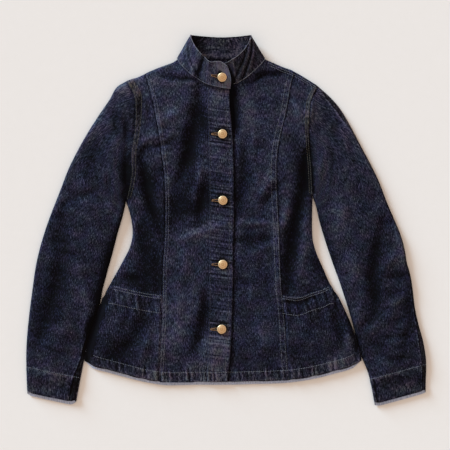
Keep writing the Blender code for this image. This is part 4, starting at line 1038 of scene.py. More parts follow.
# Rows of faces, close together where the cloth rolls and at the stitches.
HEM_INSETS = (0, 0.3, 0.8, 1.6, 2.8, 4.6, 7, 9.6, 12.2, 14.6, 16.6, 17.8, 18.6, 19.4, 20.8, 23)
SEAM_INSETS = (0.0, 0.25, 0.6, 1.1, 1.9, 3.0, 4.6, 6.6, 8.8, 11.0, 13.4)
princess_left = partial(through, PRINCESS_LEFT)
princess_right = partial(through, PRINCESS_RIGHT)
pocket_top = partial(through, POCKET_TOP)


def front_top(x):
    """Upper edge of the fronts: shoulder seams, and the neck with the part inside the collar."""
    left_tuck = NECK_TUCK * smooth_step(x - NECK_LEFT[0][0], NECK_TUCK_RUN)
    right_tuck = NECK_TUCK * smooth_step(NECK_RIGHT[-1][0] - x, NECK_TUCK_RUN)
    left = np.where(x < NECK_LEFT[0][0], through(SHOULDER_LEFT, x),
                    through(NECK_LEFT, x) + left_tuck)
    right = np.where(x > NECK_RIGHT[-1][0], through(SHOULDER_RIGHT, x),
                     through(NECK_RIGHT, x) + right_tuck)
    return np.where(x < NECK_RIGHT[0][0], left, right)


HEM_RUBBED = (  # places rubbed white: x, half width
    (-135, 13), (-42, 16), (-4, 7), (-88, 10), (52, 6), (206, 7),
)


def hemmed(lie, seed, pucker=0.75, deep=HEM_DEEP, end=HEM_EDGE, rubbed=1.0):
    """Turned hem: a rolled edge, a second ply up to the stitches, and puckers along them."""
    depth, _, _ = nearest(lie.x, lie.y, (end,))
    run = unit(end[1][-1] - end[0][0])
    along_hem = lie.x * run[0] + lie.y * run[1]
    roll = rolled(depth, 1.7)
    inside_row = 1 - smooth_step(depth - deep + 1.0, 2.5)
    window = smooth_step(depth, 3.5) * (1 - smooth_step(depth - deep - 1.5, 9.0))
    patches = 0.5 + 0.5 * ripple(along_hem, seed + 60, 64.0)
    waves = ripple(along_hem + 0.12 * depth, seed, 15.0) * window * (0.45 + patches)
    lie.raise_by(-1.5 * (1 - roll))
    lie.raise_by(0.35 * (1 - smooth_step(depth - deep - 0.6, 1.6)))
    lie.raise_by(pucker * waves, 0.55)
    lie.raise_by(stitch_line(depth - deep))
    crest = np.clip(waves, 0, 1)
    edge = bell(depth - 1.5, 2.2)
    if end is HEM_EDGE:
        spots = sum(bell(along_hem - at, half) for at, half in HEM_RUBBED)
        lie.wear(0.6 * inside_row * spots * (0.7 + 0.3 * waves))
    lie.wear(rubbed * inside_row * (0.12 + 0.4 * crest) * (0.2 + patches))
    lie.wear(rubbed * edge * (0.25 + 0.45 * patches))
    lie.brown(0.3 * inside_row)
    return depth


def sink_and_shade_beside_sleeve(lie):
    """The left hip sinks beside the sleeve below the waist, into its shadow, and is painted darker
    there as painted shade.
    """
    beside = np.exp(-((lie.x - left_line(lie.y)) / 12.0) ** 4)
    share = smooth_step(-138.0 - lie.y, 26.0) * beside
    lie.face -= 2.9 * share
    # painted shade of the sleeve
    lie.fade -= 1.1 * share


SIDES = (
    ("left", left_line, princess_left, 1, BODY_LEFT_EDGES, 31, 0.92),
    ("right", right_line, princess_right, -1, BODY_RIGHT_EDGES, 41, 0.86),
)
UNDER_INSETS = (-SEAM_UNDER, -1.6, -0.5, 0.3, 1.1, 2.2, 3.8, 6.0)
SIDE_FRONT_WIDE = 95.0
SIDE_FRONT_ROWS = 176
ARMHOLE_ROW = 2.2  # from the armhole to its first row of stitches
ARMHOLE_ROWS = {  # and to its second: y, inset
    "left": ((50, 7.5), (130, 8.5), (178, 9.3), (245, 14)),
    "right": ((50, 6), (130, 6), (178, 6.5), (245, 7)),
}
for side, line, princess, sign, edges, seed, shade in SIDES:
    across = [(share, sign * inset) for share, inset in
              insets_across(EDGE_INSETS, UNDER_INSETS, SIDE_FRONT_WIDE, CELL)]
    x, y = panel_grid(line, princess, across, front_top, HEM_INSETS, SIDE_FRONT_ROWS, EDGE_INSETS)
    lie = Lie(x, y, edges, seed)
    from_seam = sign * (princess(y) - x)
    in_pocket = 1 - smooth_step(y - pocket_top(x) + 4.0, 6.0)
    lie.raise_by(under_seam(from_seam) - 1.3 * in_pocket * (1 - smooth_step(from_seam, 5.0)))
    pucker = ripple(y, seed + 1, 17.0) * bell(from_seam, 7.0)
    lie.raise_by(0.3 * pucker * (1 - in_pocket), 0.5)
    above = smooth_step(y - SIDE_LEFT[-1][0] - 2.0, 12.0)
    from_armhole = sign * (x - line(y))
    second = np.interp(y, *np.transpose(ARMHOLE_ROWS[side]))
    fell = 0.5 * (1 - smooth_step(from_armhole - second - 0.8, 2.5))
    fell = fell - 0.7 * (1 - rolled(from_armhole, 0.9))
    fell = fell + stitch_line(from_armhole - second)
    fell = fell + stitch_line(from_armhole - ARMHOLE_ROW, 0.3)
    waves = ripple(y, seed + 2, 12.0) * (1 - smooth_step(from_armhole - second, 6.0))
    lie.raise_by(above * fell)
    lie.raise_by(0.3 * above * waves, 0.6)
    on_fell = above * (1 - smooth_step(from_armhole - second, 1.5))
    lie.brown(0.7 * on_fell)
    lie.fade -= 0.12 * on_fell * smooth_step(240.0 - y, 40.0)
    # painted shadow along the princess seam, under the centre front's edge
    lie.fade -= 0.35 * bell(from_seam, 3.0)
    if side == "left":
        sink_and_shade_beside_sleeve(lie)
    hem_depth = hemmed(lie, seed + 3)
    places = lie.places()
    places[..., 1] += 1.0 * (1 - smooth_step(hem_depth, 2.0))
    side_front = cloth(f"side_front_{side}_cloth", places, np.stack((x + 3, y + 7), -1), lie.fade,
                       lie.worn, (denim(f"side_front_{side}_denim", shade), REVERSE),
                       warm=lie.warm)
    solid_from(side_front)
    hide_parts(f"side_front_{side}")
    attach(side_front, "root")

# ---------------------------------------------------------------- fronts
# The two centre fronts. Their princess edges are turned under and stitched down in two rows;
# the right one carries the button stand, which runs under the band.
BAND_SEAM = (  # y, x
    (-312, -35.6), (-231, -34.5), (-172, -32.8), (-96, -32.6), (60, -32.6), (144, -33.2),
    (230, -36), (264, -36),
)
BAND_EDGE = (  # y, x
    (-312, 2.2), (-269, 6.2), (-221, 9.6), (-172, 11.4), (-115, 12.8), (-56, 13), (9, 14.8),
    (60, 14.3), (111, 14), (153, 12.4), (187, 9.6), (229, 6), (264, 6),
)
BAND_LIFT = 1.4  # the front band's outer face over the front beside it
STAND_DROP = -1.35  # button stand, under the band
STAND_PAST = 1.5  # it stays under as far as this past the band's edge
STAND_RISE = 13.0  # and comes up again beside the band over this width
HOLLOW_DROP = 3.9  # deeper hollow beside the band, high on the chest
HOLLOW_BESIDE = 5.0  # its middle, from the band's edge
HOLLOW_WIDTH = 7.0  # half width and half length
HOLLOW_Y = 208.0
HOLLOW_LENGTH = 46.0
FRONT_ROWS = 180
LEFT_ROWS = (1.9, 6.6)  # princess stitches, from the fold
RIGHT_ROWS = (2.0, 10.5)
STAND_INSETS = (-26, -20, -14, -9, -5, -2, 0, 1.5, 3, 4.6, 6.4, 8.4, 10.6, 13, 15.6)
BAND_INSETS = (-1.0, 0.2, 1.0, 2.2, 4.2)  # the left front goes on under the band
LEFT_WIDE = 85.0
RIGHT_WIDE = 92.0
band_seam = partial(through, BAND_SEAM)
band_edge = partial(through, BAND_EDGE)


def seamed(lie, depth, rows, seed, rubbed=0.05):
    """Princess edge of a front: folded under, stitched down in two rows, a little puckered."""
    lie.raise_by(over_seam(depth, 0.5, rows[-1] + 1.2))
    for row in rows:
        lie.raise_by(stitch_line(depth - row, 0.3, 0.9))
    waves = ripple(lie.y, seed, 14.0) * (1 - smooth_step(depth - rows[-1], 7.0))
    lie.raise_by(0.3 * waves * smooth_step(depth, 2.0), 0.5)
    on_top = 1 - smooth_step(depth - rows[-1], 4.0)
    lie.wear(on_top * (rubbed + 0.2 * np.clip(ripple(lie.y, seed + 40, 47.0), 0, 1)))


across = insets_across(SEAM_INSETS, BAND_INSETS, LEFT_WIDE, CELL)
x, y = panel_grid(princess_left, band_seam, across, front_top, HEM_INSETS, FRONT_ROWS,
                  EDGE_INSETS)
lie = Lie(x, y, BODY_LEFT_EDGES, 51)
seamed(lie, x - princess_left(y), LEFT_ROWS, 52)
to_band = band_seam(y) - x
lie.raise_by(-0.5 * (1 - smooth_step(to_band, 3.0)))
lie.raise_by(0.3 * ripple(y, 53, 13.0) * bell(to_band, 9.0), 0.5)
hemmed(lie, 54)
front_left = cloth("front_left_cloth", lie.places(), np.stack((x, y), -1), lie.fade, lie.worn,
                   (denim("front_left_denim", 1.02), REVERSE), warm=lie.warm)
solid_from(front_left)
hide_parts("front_left")
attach(front_left, "root")

across = insets_across(STAND_INSETS, SEAM_INSETS, RIGHT_WIDE, CELL)
x, y = panel_grid(band_edge, princess_right, across, front_top, HEM_INSETS, FRONT_ROWS,
                  EDGE_INSETS)
lie = Lie(x, y, BODY_RIGHT_EDGES, 61)
beside = x - band_edge(y)
under = 1 - smooth_step(beside - STAND_PAST, STAND_RISE)
hollow = np.exp(-((y - HOLLOW_Y) / HOLLOW_LENGTH) ** 2
                - ((beside - HOLLOW_BESIDE) / HOLLOW_WIDTH) ** 2)
lie.raise_by(STAND_DROP * under - HOLLOW_DROP * hollow)
# painted shade in the hollow beside the band, high on the chest, and painted shadow of the band's
# edge along it
lie.fade -= 1.6 * np.exp(-((y - 216.0) / 44.0) ** 4 - ((beside - 4.0) / 10.5) ** 2)
lie.fade -= (0.55 + 0.25 * smooth_step(y, 60.0)) * bell(beside, 3.2)
seamed(lie, princess_right(y) - x, RIGHT_ROWS, 62, rubbed=0.1)
hemmed(lie, 63)
front_right = cloth("front_right_cloth", lie.places(), np.stack((x + 11, y - 5), -1), lie.fade,
                    lie.worn, (denim("front_right_denim", 0.83, -0.02), REVERSE), warm=lie.warm)
solid_from(front_right)
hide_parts("front_right")
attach(front_right, "root")

# ---------------------------------------------------------------- pockets
# A patch over each side front, caught in the princess seam, the side seam and the hem. Its
# mouth is turned in 36 mm deep and stitched in two rows at the edge and one below.
POCKET_LIFT = 1.5  # its outer face over the side front's
MOUTH_INSETS = (0.0, 0.3, 0.8, 1.6, 2.6, 3.8, 5.2, 6.6, 8.0, 9.4, 11.4)
POCKET_OUTER = (1.4, 1.9, 2.7, 3.8, 5.2, 6.8)
POCKET_INNER = (-1.2, -0.4, 0.4, 1.2, 2.2, 3.8, 6.0)
POCKET_WIDE = 110.0
POCKET_ROWS = 44
MOUTH_ROW = 2.4  # rows of stitches, from the pocket's mouth
MOUTH_SECOND = {"left": 7.6, "right": 6.6}
FACING_DEEP = 35.0
CREASE_X = -170.0  # one sharp crease across the left mouth's facing
for side, line, princess, sign, edges, seed, shade in SIDES:
    across = [(share, sign * inset) for share, inset in
              insets_across(POCKET_OUTER, POCKET_INNER, POCKET_WIDE, CELL)]
    x, y = panel_grid(line, princess, across, pocket_top, HEM_INSETS, POCKET_ROWS, MOUTH_INSETS)
    lie = Lie(x, y, edges, seed)
    from_seam = sign * (princess(y) - x)
    lie.raise_by(-1.7 * (1 - smooth_step(from_seam, 4.5)))
    mouth = pocket_top(x) - y
    fold = rolled(mouth, 1.4)
    second = MOUTH_SECOND[side]
    lie.raise_by(-1.0 * (1 - fold))
    lie.raise_by(0.45 * (1 - smooth_step(mouth - FACING_DEEP - 0.5, 1.6)))
    for row in (MOUTH_ROW, second, FACING_DEEP):
        lie.raise_by(stitch_line(mouth - row, 0.4, 1.0))
    waves = ripple(x * 0.98 + y * 0.2 + 2.0 * unevenness(x, y, seed + 7), seed + 5, 17.0)
    waves = waves * (0.75 + 0.6 * ripple(x, seed + 8, 47.0))
    between = smooth_step(mouth - 4.0, 8.0) * (1 - smooth_step(mouth - FACING_DEEP - 2.0, 16.0))
    lie.raise_by(0.8 * waves * between, 0.6)
    if side == "left":
        lie.raise_by(0.9 * bell(x - CREASE_X, 1.8) * smooth_step(mouth - 9.0, 3.0)
                     * (1 - smooth_step(mouth - 32.0, 3.0)), 0.4)
    lie.wear(0.22 * (1 - smooth_step(mouth - second, 2.0)))
    if side == "left":
        sink_and_shade_beside_sleeve(lie)
    hem_depth = hemmed(lie, seed + 3)
    places = lie.places(POCKET_LIFT)
    places[..., 2] -= 1.3 * (1 - smooth_step(hem_depth, 1.6))
    pocket = cloth(f"pocket_{side}_cloth", places, np.stack((x - 9, y + 3), -1), lie.fade,
                   lie.worn, (denim(f"pocket_{side}_denim", shade * 0.98), REVERSE),
                   warm=lie.warm)
    solid_from(pocket)
    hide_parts(f"pocket_{side}")
    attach(pocket, "root")

# ---------------------------------------------------------------- front band
# Two plies sewn to the left front and turned; a folded right edge lies free over the button
# stand. Rows of stitches run near both edges, and the band draws up between the buttonholes.
BAND_PLY = 2.2  # two plies, pressed
BAND_TOP = (  # x, y
    (-37, 262.5), (-29, 259.6), (-20, 256.4), (-13, 254.6), (-6, 253.4), (8, 252),
)
BAND_BUTTONS = ((-6.9, 164.8), (-6.2, 38.5), (-6.4, -83.3), (-8.5, -206.4))  # x, y
BAND_SEWN = (0.0, 0.25, 0.6, 1.1, 1.9, 3.0, 4.4)
BAND_FREE = (0.0, 0.2, 0.5, 1.0, 1.7, 2.6, 3.8, 5.4, 7.4, 9.2)
BAND_WIDE = 44.0
BAND_CELL = 2.6
BAND_ROWS = 210
BAND_SEAM_ROWS = (2.2, 5.6)  # pressed lines beside the seam
BAND_ROW = 7.4  # from the free edge to its row of stitches
DRAWN = 34.0  # the band draws up this far either side of a button
WORKED = 9.0  # a buttonhole's worked edge, from the button's middle
band_top = partial(through, BAND_TOP)

across = insets_across(BAND_SEWN, BAND_FREE, BAND_WIDE, BAND_CELL)
x, y = panel_grid(band_seam, band_edge, across, band_top, HEM_INSETS, BAND_ROWS, (0.0, 1.5, 4.0))
lie = Lie(x, y, BODY_EDGES, 71)
from_seam = x - band_seam(y)
from_fold = band_edge(y) - x
seam_fold = rolled(from_seam, 0.9)
free_fold = rolled(from_fold, 1.6)
lie.raise_by(-0.9 * (1 - seam_fold) - 1.2 * (1 - free_fold))
for row in BAND_SEAM_ROWS:
    lie.raise_by(stitch_line(from_seam - row, 0.3, 0.9))
lie.raise_by(stitch_line(from_fold - BAND_ROW, 0.35, 1.0))
waves = ripple(y + 0.15 * x, 72, 12.0)
drawn = 0.35 + 0.65 * sum(bell(y - button_y, DRAWN) for _, button_y in BAND_BUTTONS)
between = smooth_step(from_fold, 4.0) * smooth_step(from_seam, 3.0)
lie.raise_by(0.55 * waves * drawn * between, 1.35)
for _, button_y in BAND_BUTTONS:
    lie.raise_by(-0.5 * bell(y - button_y, 5.0) * smooth_step(from_seam, 6.0), 0.4)
hemmed(lie, 73, pucker=0.5)
lie.wear(0.12 * (1 - smooth_step(from_fold - 7.0, 3.0)))
# painted shadow round each button: darker and browner cloth at its hole's worked edge
for button_x, button_y in BAND_BUTTONS:
    from_button = np.hypot(x - button_x, y - button_y - 1.6)
    lie.fade -= 0.6 * bell(from_button - WORKED, 4.0)
    lie.brown(bell(from_button - WORKED, 5.0))
front_band = cloth("front_band_cloth", lie.places(BAND_LIFT), np.stack((x - 4, y + 2), -1),
                   lie.fade, lie.worn, (denim("front_band_denim", 0.95), REVERSE), ply=BAND_PLY,
                   warm=lie.warm)

# ---------------------------------------------------------------- upper sleeves
# The upper half of each sleeve, cap to cuff. The cuff end is turned in 47 mm deep and held by
# one row of stitches; the sleeve's seam is turned over the under sleeve.
SEAM_TUCK = 2.0  # the sleeve's allowance goes on this far under the body
UPPER_ENDS = (0.0, 0.3, 0.8, 1.6, 2.8, 4.6, 7.0, 10.0, 13.0)
CUFF_ROW = (43.0, 44.6, 45.8, 46.5, 47.0, 47.5, 48.2, 49.4, 51.0)
UPPER_COLUMNS = 33
LEAST_ROW = 0.0024  # no two rows are closer than this share of the sleeve
LOW_ARM = 0.6  # share of the sleeve below which its seam is rubbed
HIGH_ARM = 0.14  # and above which the right one is
CUFF_SEAM = 5.4  # the cuff's own seam, from the right sleeve's inner edge
SLEEVE_LOOKS = {  # seed, side of the body, shade, tint
    "left": (81, -1, 0.84, 0.0), "right": (91, 1, 0.80, 0.02),
}


def upper_shares():
    """Rows of an upper sleeve, closer together at the cuff's edge and at its stitches."""
    near_end = 1 - np.array(UPPER_ENDS + CUFF_ROW) / SLEEVE_LONG
    even = spaced(0.0, 1.0, CELL / SLEEVE_LONG)
    gap = np.abs(even[:, None] - near_end).min(axis=1)
    return np.sort(np.concatenate((even[gap > LEAST_ROW], near_end)))


def upper_insets(seam_in, seam_on_inner):
    def insets(share):
        seam = np.interp(share, *np.transpose(seam_in))
        beside = seam + np.array((0.0, 0.3, 0.7, 1.3, 2.2, 3.6, 5.4))
        turn = np.array(EDGE_INSETS)
        return (turn, beside[::-1]) if seam_on_inner else (beside, turn[::-1])
    return insets


def rubbed_and_shaded_seam(lie, from_seam, where, width):
    """A stretch of the sleeve's seam with painted shade in its fold and a rubbed edge beside it."""
    where = where[:, None] * np.ones(lie.x.shape)
    # painted shade in the seam's fold
    lie.fade -= 0.9 * where * bell(from_seam, 0.9)
    return where * bell(from_seam - 2.6, width)


for (side, outer, inner, line, top_y, underarm_y, seam_in, on_inner, edges, cuff) in SLEEVES:
    shares = upper_shares()
    x, y, cloth_map = sleeve_places(outer, inner, line, top_y, underarm_y,
                                    upper_insets(seam_in, on_inner), shares, UPPER_COLUMNS)
    seed, sign, shade, tint = SLEEVE_LOOKS[side]
    x, y = rounded_end(x, y, (1 - shares) * SLEEVE_LONG, edges, CUFF_CORNERS[side])
    from_armhole = np.hypot(x - x[:1], y - y[:1])
    x[0] -= sign * SEAM_TUCK
    lie = Lie(x, y, edges, seed)
    seam = slice(-1, None) if on_inner else slice(0, 1)
    from_seam = np.hypot(x - x[:, seam], y - y[:, seam])
    lie.raise_by(over_seam(from_seam, 0.4, 7.0))
    lie.wear(0.7 * rubbed_and_shaded_seam(lie, from_seam, smooth_step(shares - LOW_ARM, 0.25), 1.2))
    if side == "right":
        lie.wear(rubbed_and_shaded_seam(lie, from_seam, 1 - smooth_step(shares - HIGH_ARM, 0.03), 1.7))
    lie.raise_by(-1.4 * (1 - smooth_step(from_armhole, 3.4)))
    # painted shade along the armhole seam
    lie.fade -= 0.5 * bell(from_armhole, 3.0)
    puckers = ripple(y, seed + 1, 21.0) * bell(from_armhole - 5.0, 8.0)
    lie.raise_by(0.45 * puckers, 0.4)
    depth = hemmed(lie, seed + 2, pucker=0.22, deep=CUFF_DEEP, end=cuff, rubbed=0.35)
    row_wear = 0.7 + 0.5 * ripple(x, seed + 5, 17.0)
    lie.wear(0.85 * row_wear * bell(depth - CUFF_DEEP + 1.2, 3.4))
    if side == "right":
        inner_seam, _, _ = nearest(x, y, (edge_of(sleeve_edge(INNER_RIGHT)),))
        in_cuff = 1 - smooth_step(depth - CUFF_DEEP + 2.0, 3.0)
        lie.raise_by(in_cuff * stitch_line(inner_seam - CUFF_SEAM, 0.6, 1.0))
        # painted shade in the cuff seam's groove, and a browner strip beyond it, painted shade as
        # on the under sleeves
        lie.fade -= 1.0 * in_cuff * bell(inner_seam - CUFF_SEAM, 1.1)
        lie.brown(1.4 * in_cuff * (1 - smooth_step(inner_seam - 4.6, 1.2)))
    upper = cloth(f"upper_sleeve_{side}_cloth", lie.places(), cloth_map, lie.fade, lie.worn,
                  (denim(f"upper_sleeve_{side}_denim", shade, tint), REVERSE),
                  warm=0.5 * lie.warm)
    solid_from(upper)
    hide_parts(f"upper_sleeve_{side}")
    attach(upper, "root")

# ---------------------------------------------------------------- collar
# A stand of two plies sewn and turned, set on the neck edge. Its left end is a tab that
# buttons over the right end; its seams and edges are worn pale.
COLLAR_STATIONS = (  # bottom x, y, z, top x, y, z, bow to the right
    (7.6, 250.0, 16.8, 1.0, 293.5, 23.0, 4.4),
    (-3.0, 251.2, 17.0, -9.0, 300.6, 23.4, 1.6),
    (-14.0, 253.2, 17.0, -19.0, 301.8, 23.8, 0.0),
    (-36.2, 259.1, 16.4, -30.5, 300.9, 24.6, 0.0),
    (-50.8, 266.5, 15.4, -42.9, 311.6, 24.6, 0.0),
    (-69.4, 279.8, 14.4, -56.0, 326.2, 23.6, 0.0),
    (-85.6, 295.7, 12.8, -64.6, 342.0, 21.0, 0.0),
    (-93.4, 308.6, 8.4, -67.8, 352.6, 15.6, 0.0),
    (-88.0, 310.8, 3.8, -63.2, 353.2, 9.0, 0.0),
    (-62.0, 309.4, 0.6, -38.0, 351.2, 5.6, 0.0),
    (-8.0, 308.9, 0.5, -9.0, 349.6, 5.0, 0.0),
    (44.0, 309.4, 0.6, 22.0, 351.2, 5.6, 0.0),
    (68.0, 310.8, 3.8, 43.0, 353.2, 9.0, 0.0),
    (74.2, 308.6, 8.4, 47.2, 352.0, 15.2, 0.0),
    (70.0, 301.0, 12.4, 45.6, 344.4, 19.4, 0.0),
    (57.1, 287.8, 13.8, 37.2, 329.2, 21.6, 0.0),
    (43.8, 275.8, 14.0, 25.2, 315.7, 21.4, 0.0),
    (30.5, 266.5, 14.0, 11.7, 306.4, 20.8, 0.0),
    (18.0, 260.4, 13.8, -3.5, 298.4, 20.0, 0.0),
    (-6.0, 255.2, 13.2, -26.0, 297.0, 19.4, 0.0),
)
COLLAR_PLY = 2.3
COLLAR_STEPS = 230  # columns of faces round the neck
COLLAR_HIGH = 46.0  # height of the stand, mm
COLLAR_LONG = 470.0  # its length along the neck
COLLAR_FOLDS = (  # share round at mid height, change of it up the stand, half width, depth
    (0.165, 0, 0.014, 0.2), (0.218, -0.02, 0.012, -1.7), (0.252, 0, 0.012, 0.5),
    (0.295, 0.2, 0.010, -0.8), (0.345, 0, 0.012, 0.5), (0.775, -0.18, 0.012, 0.6),
    (0.804, -0.19, 0.009, -1.7), (0.840, -0.2, 0.011, 0.7), (0.878, -0.21, 0.009, -1.5),
    (0.918, -0.05, 0.007, 0.9),
)
BACK_OF_NECK = (0.41, 0.655)  # shares round the collar that show its inner face
COLLAR_ROW = 4.6  # from its edges to the pressed line of its stitches
TAB_BUTTON = (0.069, 0.40)  # share round the collar and share of its height
TAB_END = 0.05  # the tab is paler up to here, and from there on less and less
RIGHT_PART = 0.62  # from here on the collar lies at the right, and is darker
RIGHT_END = 0.925  # it goes under the tab
LOW_BACK = 24.0  # height up to which the back of the neck shows uneven loops of cloth


def collar_points(shares_round, shares_up):
    """Outer face of the collar, rows up from the neck seam."""
    stations = np.array(COLLAR_STATIONS)
    number = np.linspace(0.0, 1.0, len(stations))
    columns = [through(np.column_stack((number, column)), shares_round) for column in stations.T]
    bottom, top = np.stack(columns[:3], axis=-1), np.stack(columns[3:6], axis=-1)
    rows = []
    for up in shares_up:
        row = bottom * (1 - up) + top * up
        row[..., 0] += columns[6] * math.sin(math.pi * up)
        rows.append(row)
    return np.array(rows)


up_mm = np.array((0.0, 0.3, 0.8, 1.6, 2.6, 4.0, *np.arange(6.0, COLLAR_HIGH - 5, 2.4),
                  COLLAR_HIGH - 4.0, COLLAR_HIGH - 2.6, COLLAR_HIGH - 1.6, COLLAR_HIGH - 0.8,
                  COLLAR_HIGH - 0.3, COLLAR_HIGH))
round_share = np.linspace(0.0, 1.0, COLLAR_STEPS)
points = collar_points(round_share, up_mm / COLLAR_HIGH)
way_round = np.gradient(points, axis=1)
way_up = np.gradient(points, axis=0)
outward = np.cross(way_up, way_round)
outward /= np.linalg.norm(outward, axis=-1, keepdims=True)
share, up = np.meshgrid(round_share, up_mm)
run = share * COLLAR_LONG
bulge = 0.25 * unevenness(run, up, 101, (17.0, 26.0, 38.0))
for spot, leaning, width, depth in COLLAR_FOLDS:
    lean_in = spot + leaning * (up / COLLAR_HIGH - 0.5)
    bulge = bulge + depth * bell(share - lean_in, width)
edge_rows = np.minimum(up, COLLAR_HIGH - up)
puckers = ripple(run, 102, 13.0) * bell(edge_rows - 5.0, 5.0)
relief = bulge + 0.3 * puckers + stitch_line(edge_rows - COLLAR_ROW, 0.35, 1.0)
relief = relief + stitch_line(run - COLLAR_ROW, 0.35, 1.0)
points = points + outward * relief[..., None]
at_back = (smooth_step(share - BACK_OF_NECK[0], 0.01)
           * (1 - smooth_step(share - BACK_OF_NECK[1], 0.01)))
shown = 1 - at_back
right_part = smooth_step(share - RIGHT_PART, 0.04)
# painted highlight where the collar's folds and puckers stand out, painted shade where they sink
collar_fade = 0.58 + bulge / 2.2 + 0.15 * puckers - 0.22 * right_part - 0.10 * at_back
collar_fade += 0.47 * (1 - smooth_step(share - TAB_END, 0.12))
# painted shade where the right end goes under the tab
collar_fade -= 1.3 * smooth_step(share - RIGHT_END, 0.03)
collar_fade -= 0.75 * at_back * (1 - smooth_step(share - 0.435, 0.07))
loops = 0.22 + 0.5 * ripple(up + 1.5 * unevenness(run, up, 105), 103, 4.4)
collar_fade += at_back * loops * (1 - smooth_step(up - LOW_BACK, 4.0))
collar_fade += at_back * 0.8 * ripple(run, 104, 6.0) * bell(up - 39.0, 3.2)
collar_fade -= at_back * (0.8 * bell(COLLAR_HIGH - up, 1.5) + 0.5 * bell(up, 2.0))
collar_fade += 0.16 * shown * unevenness(run, up, 106, (8.0, 11.0, 15.0))
collar_warm = 0.55 * right_part * shown + 0.35 * at_back
round_hole = np.hypot((run - TAB_BUTTON[0] * COLLAR_LONG - 5.0) / 1.4,
                      up - TAB_BUTTON[1] * COLLAR_HIGH)
# painted shadow round the tab's button: darker and browner cloth at its hole
collar_fade -= 1.3 * bell(round_hole - 7.5, 3.8)
collar_warm = np.maximum(collar_warm, 1.2 * bell(round_hole - 7.0, 5.0))
collar_fade -= 0.3 * bell(run - 4.8, 1.4)
collar_worn = 0.8 * shown * bell(edge_rows, 1.0)
collar_worn = np.maximum(collar_worn, 0.9 * bell(run, 2.4))
collar_worn = np.maximum(collar_worn, 0.26 * (1 - smooth_step(share - 0.07, 0.05)))
collar = cloth("collar_cloth", points, np.stack((run, up), -1), collar_fade, collar_worn,
               (denim("collar_denim", 1.05), denim("collar_inner_denim", 0.85)),
               ply=COLLAR_PLY, reverse=True, warm=collar_warm)

# ---------------------------------------------------------------- buttons and buttonholes
# Five tack buttons: a brass cap with a rolled rim on a shank that goes through a keyhole
# buttonhole to the ply below. The holes are cut through both plies and worked in tan thread.
TAB_HOLE_TURN = math.radians(-17.0)
FRAME_STEP = 0.01  # share of the collar that gives the directions on it
BUTTON_CROWN = 4.6  # top of the cap over the cloth
BUTTON_PROFILE = (  # radius, height over the cloth: from the middle of the cap to the rim
    (0.0, 4.45), (1.1, 4.43), (1.9, 4.36), (2.35, 4.16), (2.7, 4.20), (3.6, 4.24), (4.7, 4.08),
    (5.5, 3.86), (5.95, 3.58), (6.25, 3.46), (6.6, 3.62), (7.1, 3.72), (7.7, 3.60), (8.25, 3.22),
    (8.62, 2.6), (8.75, 1.95), (8.66, 1.3), (8.35, 0.8), (7.8, 0.55), (2.6, 0.5), (2.35, 0.2),
)
BUTTON_STEPS = 48
RING_RADIUS = 6.25  # groove between cap and rim
INNER_RING = 2.3  # and round the middle of the cap
SHANK_RADIUS = 2.35
SHANK_DOWN = 2.2  # as far as the ply below
HOLE_EYE = 2.9  # radius of a keyhole's round end
HOLE_SLOT = 0.9  # width of its slot
HOLE_LONG = 20.0
EYE_STEPS = 15
HOLE_DEEP = 4.4  # the cut starts this far under the cap


def collar_frame(share_round, share_up):
    """Place and directions on the collar's outer face: x to its end, y up it, z outwards."""
    spot = collar_points(np.array([share_round]), [share_up])[0, 0]
    onward = collar_points(np.array([share_round - FRAME_STEP]), [share_up])[0, 0] - spot
    upward = collar_points(np.array([share_round]), [share_up + FRAME_STEP])[0, 0] - spot
    up_way = Vector(upward).normalized()
    out = Vector(onward).cross(up_way).normalized()
    turned_frame = Matrix((up_way.cross(out), up_way, out)).transposed().to_4x4()
    turned_frame.translation = Vector(spot) * MM
    return turned_frame


def placed_piece(name, bm, materials, where=None):
    """A finished mesh, laid in its place, its origin at the jacket's."""
    if where is not None:
        bmesh.ops.transform(bm, matrix=where, verts=bm.verts[:])
    mesh = bpy.data.meshes.new(name)
    bm.to_mesh(mesh)
    bm.free()
    for material in materials:
        mesh.materials.append(material)
    piece = bpy.data.objects.new(name, mesh)
    bpy.context.scene.collection.objects.link(piece)
    return piece


def keyhole_cutter(name, where):
    """Keyhole with its round end at the button, its slot to the left."""
    angles = np.linspace(1.25 * math.pi, 2.75 * math.pi, EYE_STEPS)
    outline = [(HOLE_EYE * math.cos(a), HOLE_EYE * math.sin(a)) for a in angles]
    outline += [(-HOLE_LONG, HOLE_SLOT / 2), (-HOLE_LONG, -HOLE_SLOT / 2)]
    bm = bmesh.new()
    rim = [bm.verts.new((x * MM, y * MM, -HOLE_DEEP * MM)) for x, y in outline]
    grown = bmesh.ops.extrude_face_region(bm, geom=[bm.faces.new(rim)], use_keep_orig=True)
    raised = [item for item in grown["geom"] if isinstance(item, bmesh.types.BMVert)]
    bmesh.ops.translate(bm, verts=raised, vec=(0.0, 0.0, (HOLE_DEEP + 3.0) * MM))
    bmesh.ops.recalc_face_normals(bm, faces=bm.faces[:])
    return placed_piece(name, bm, (), where)


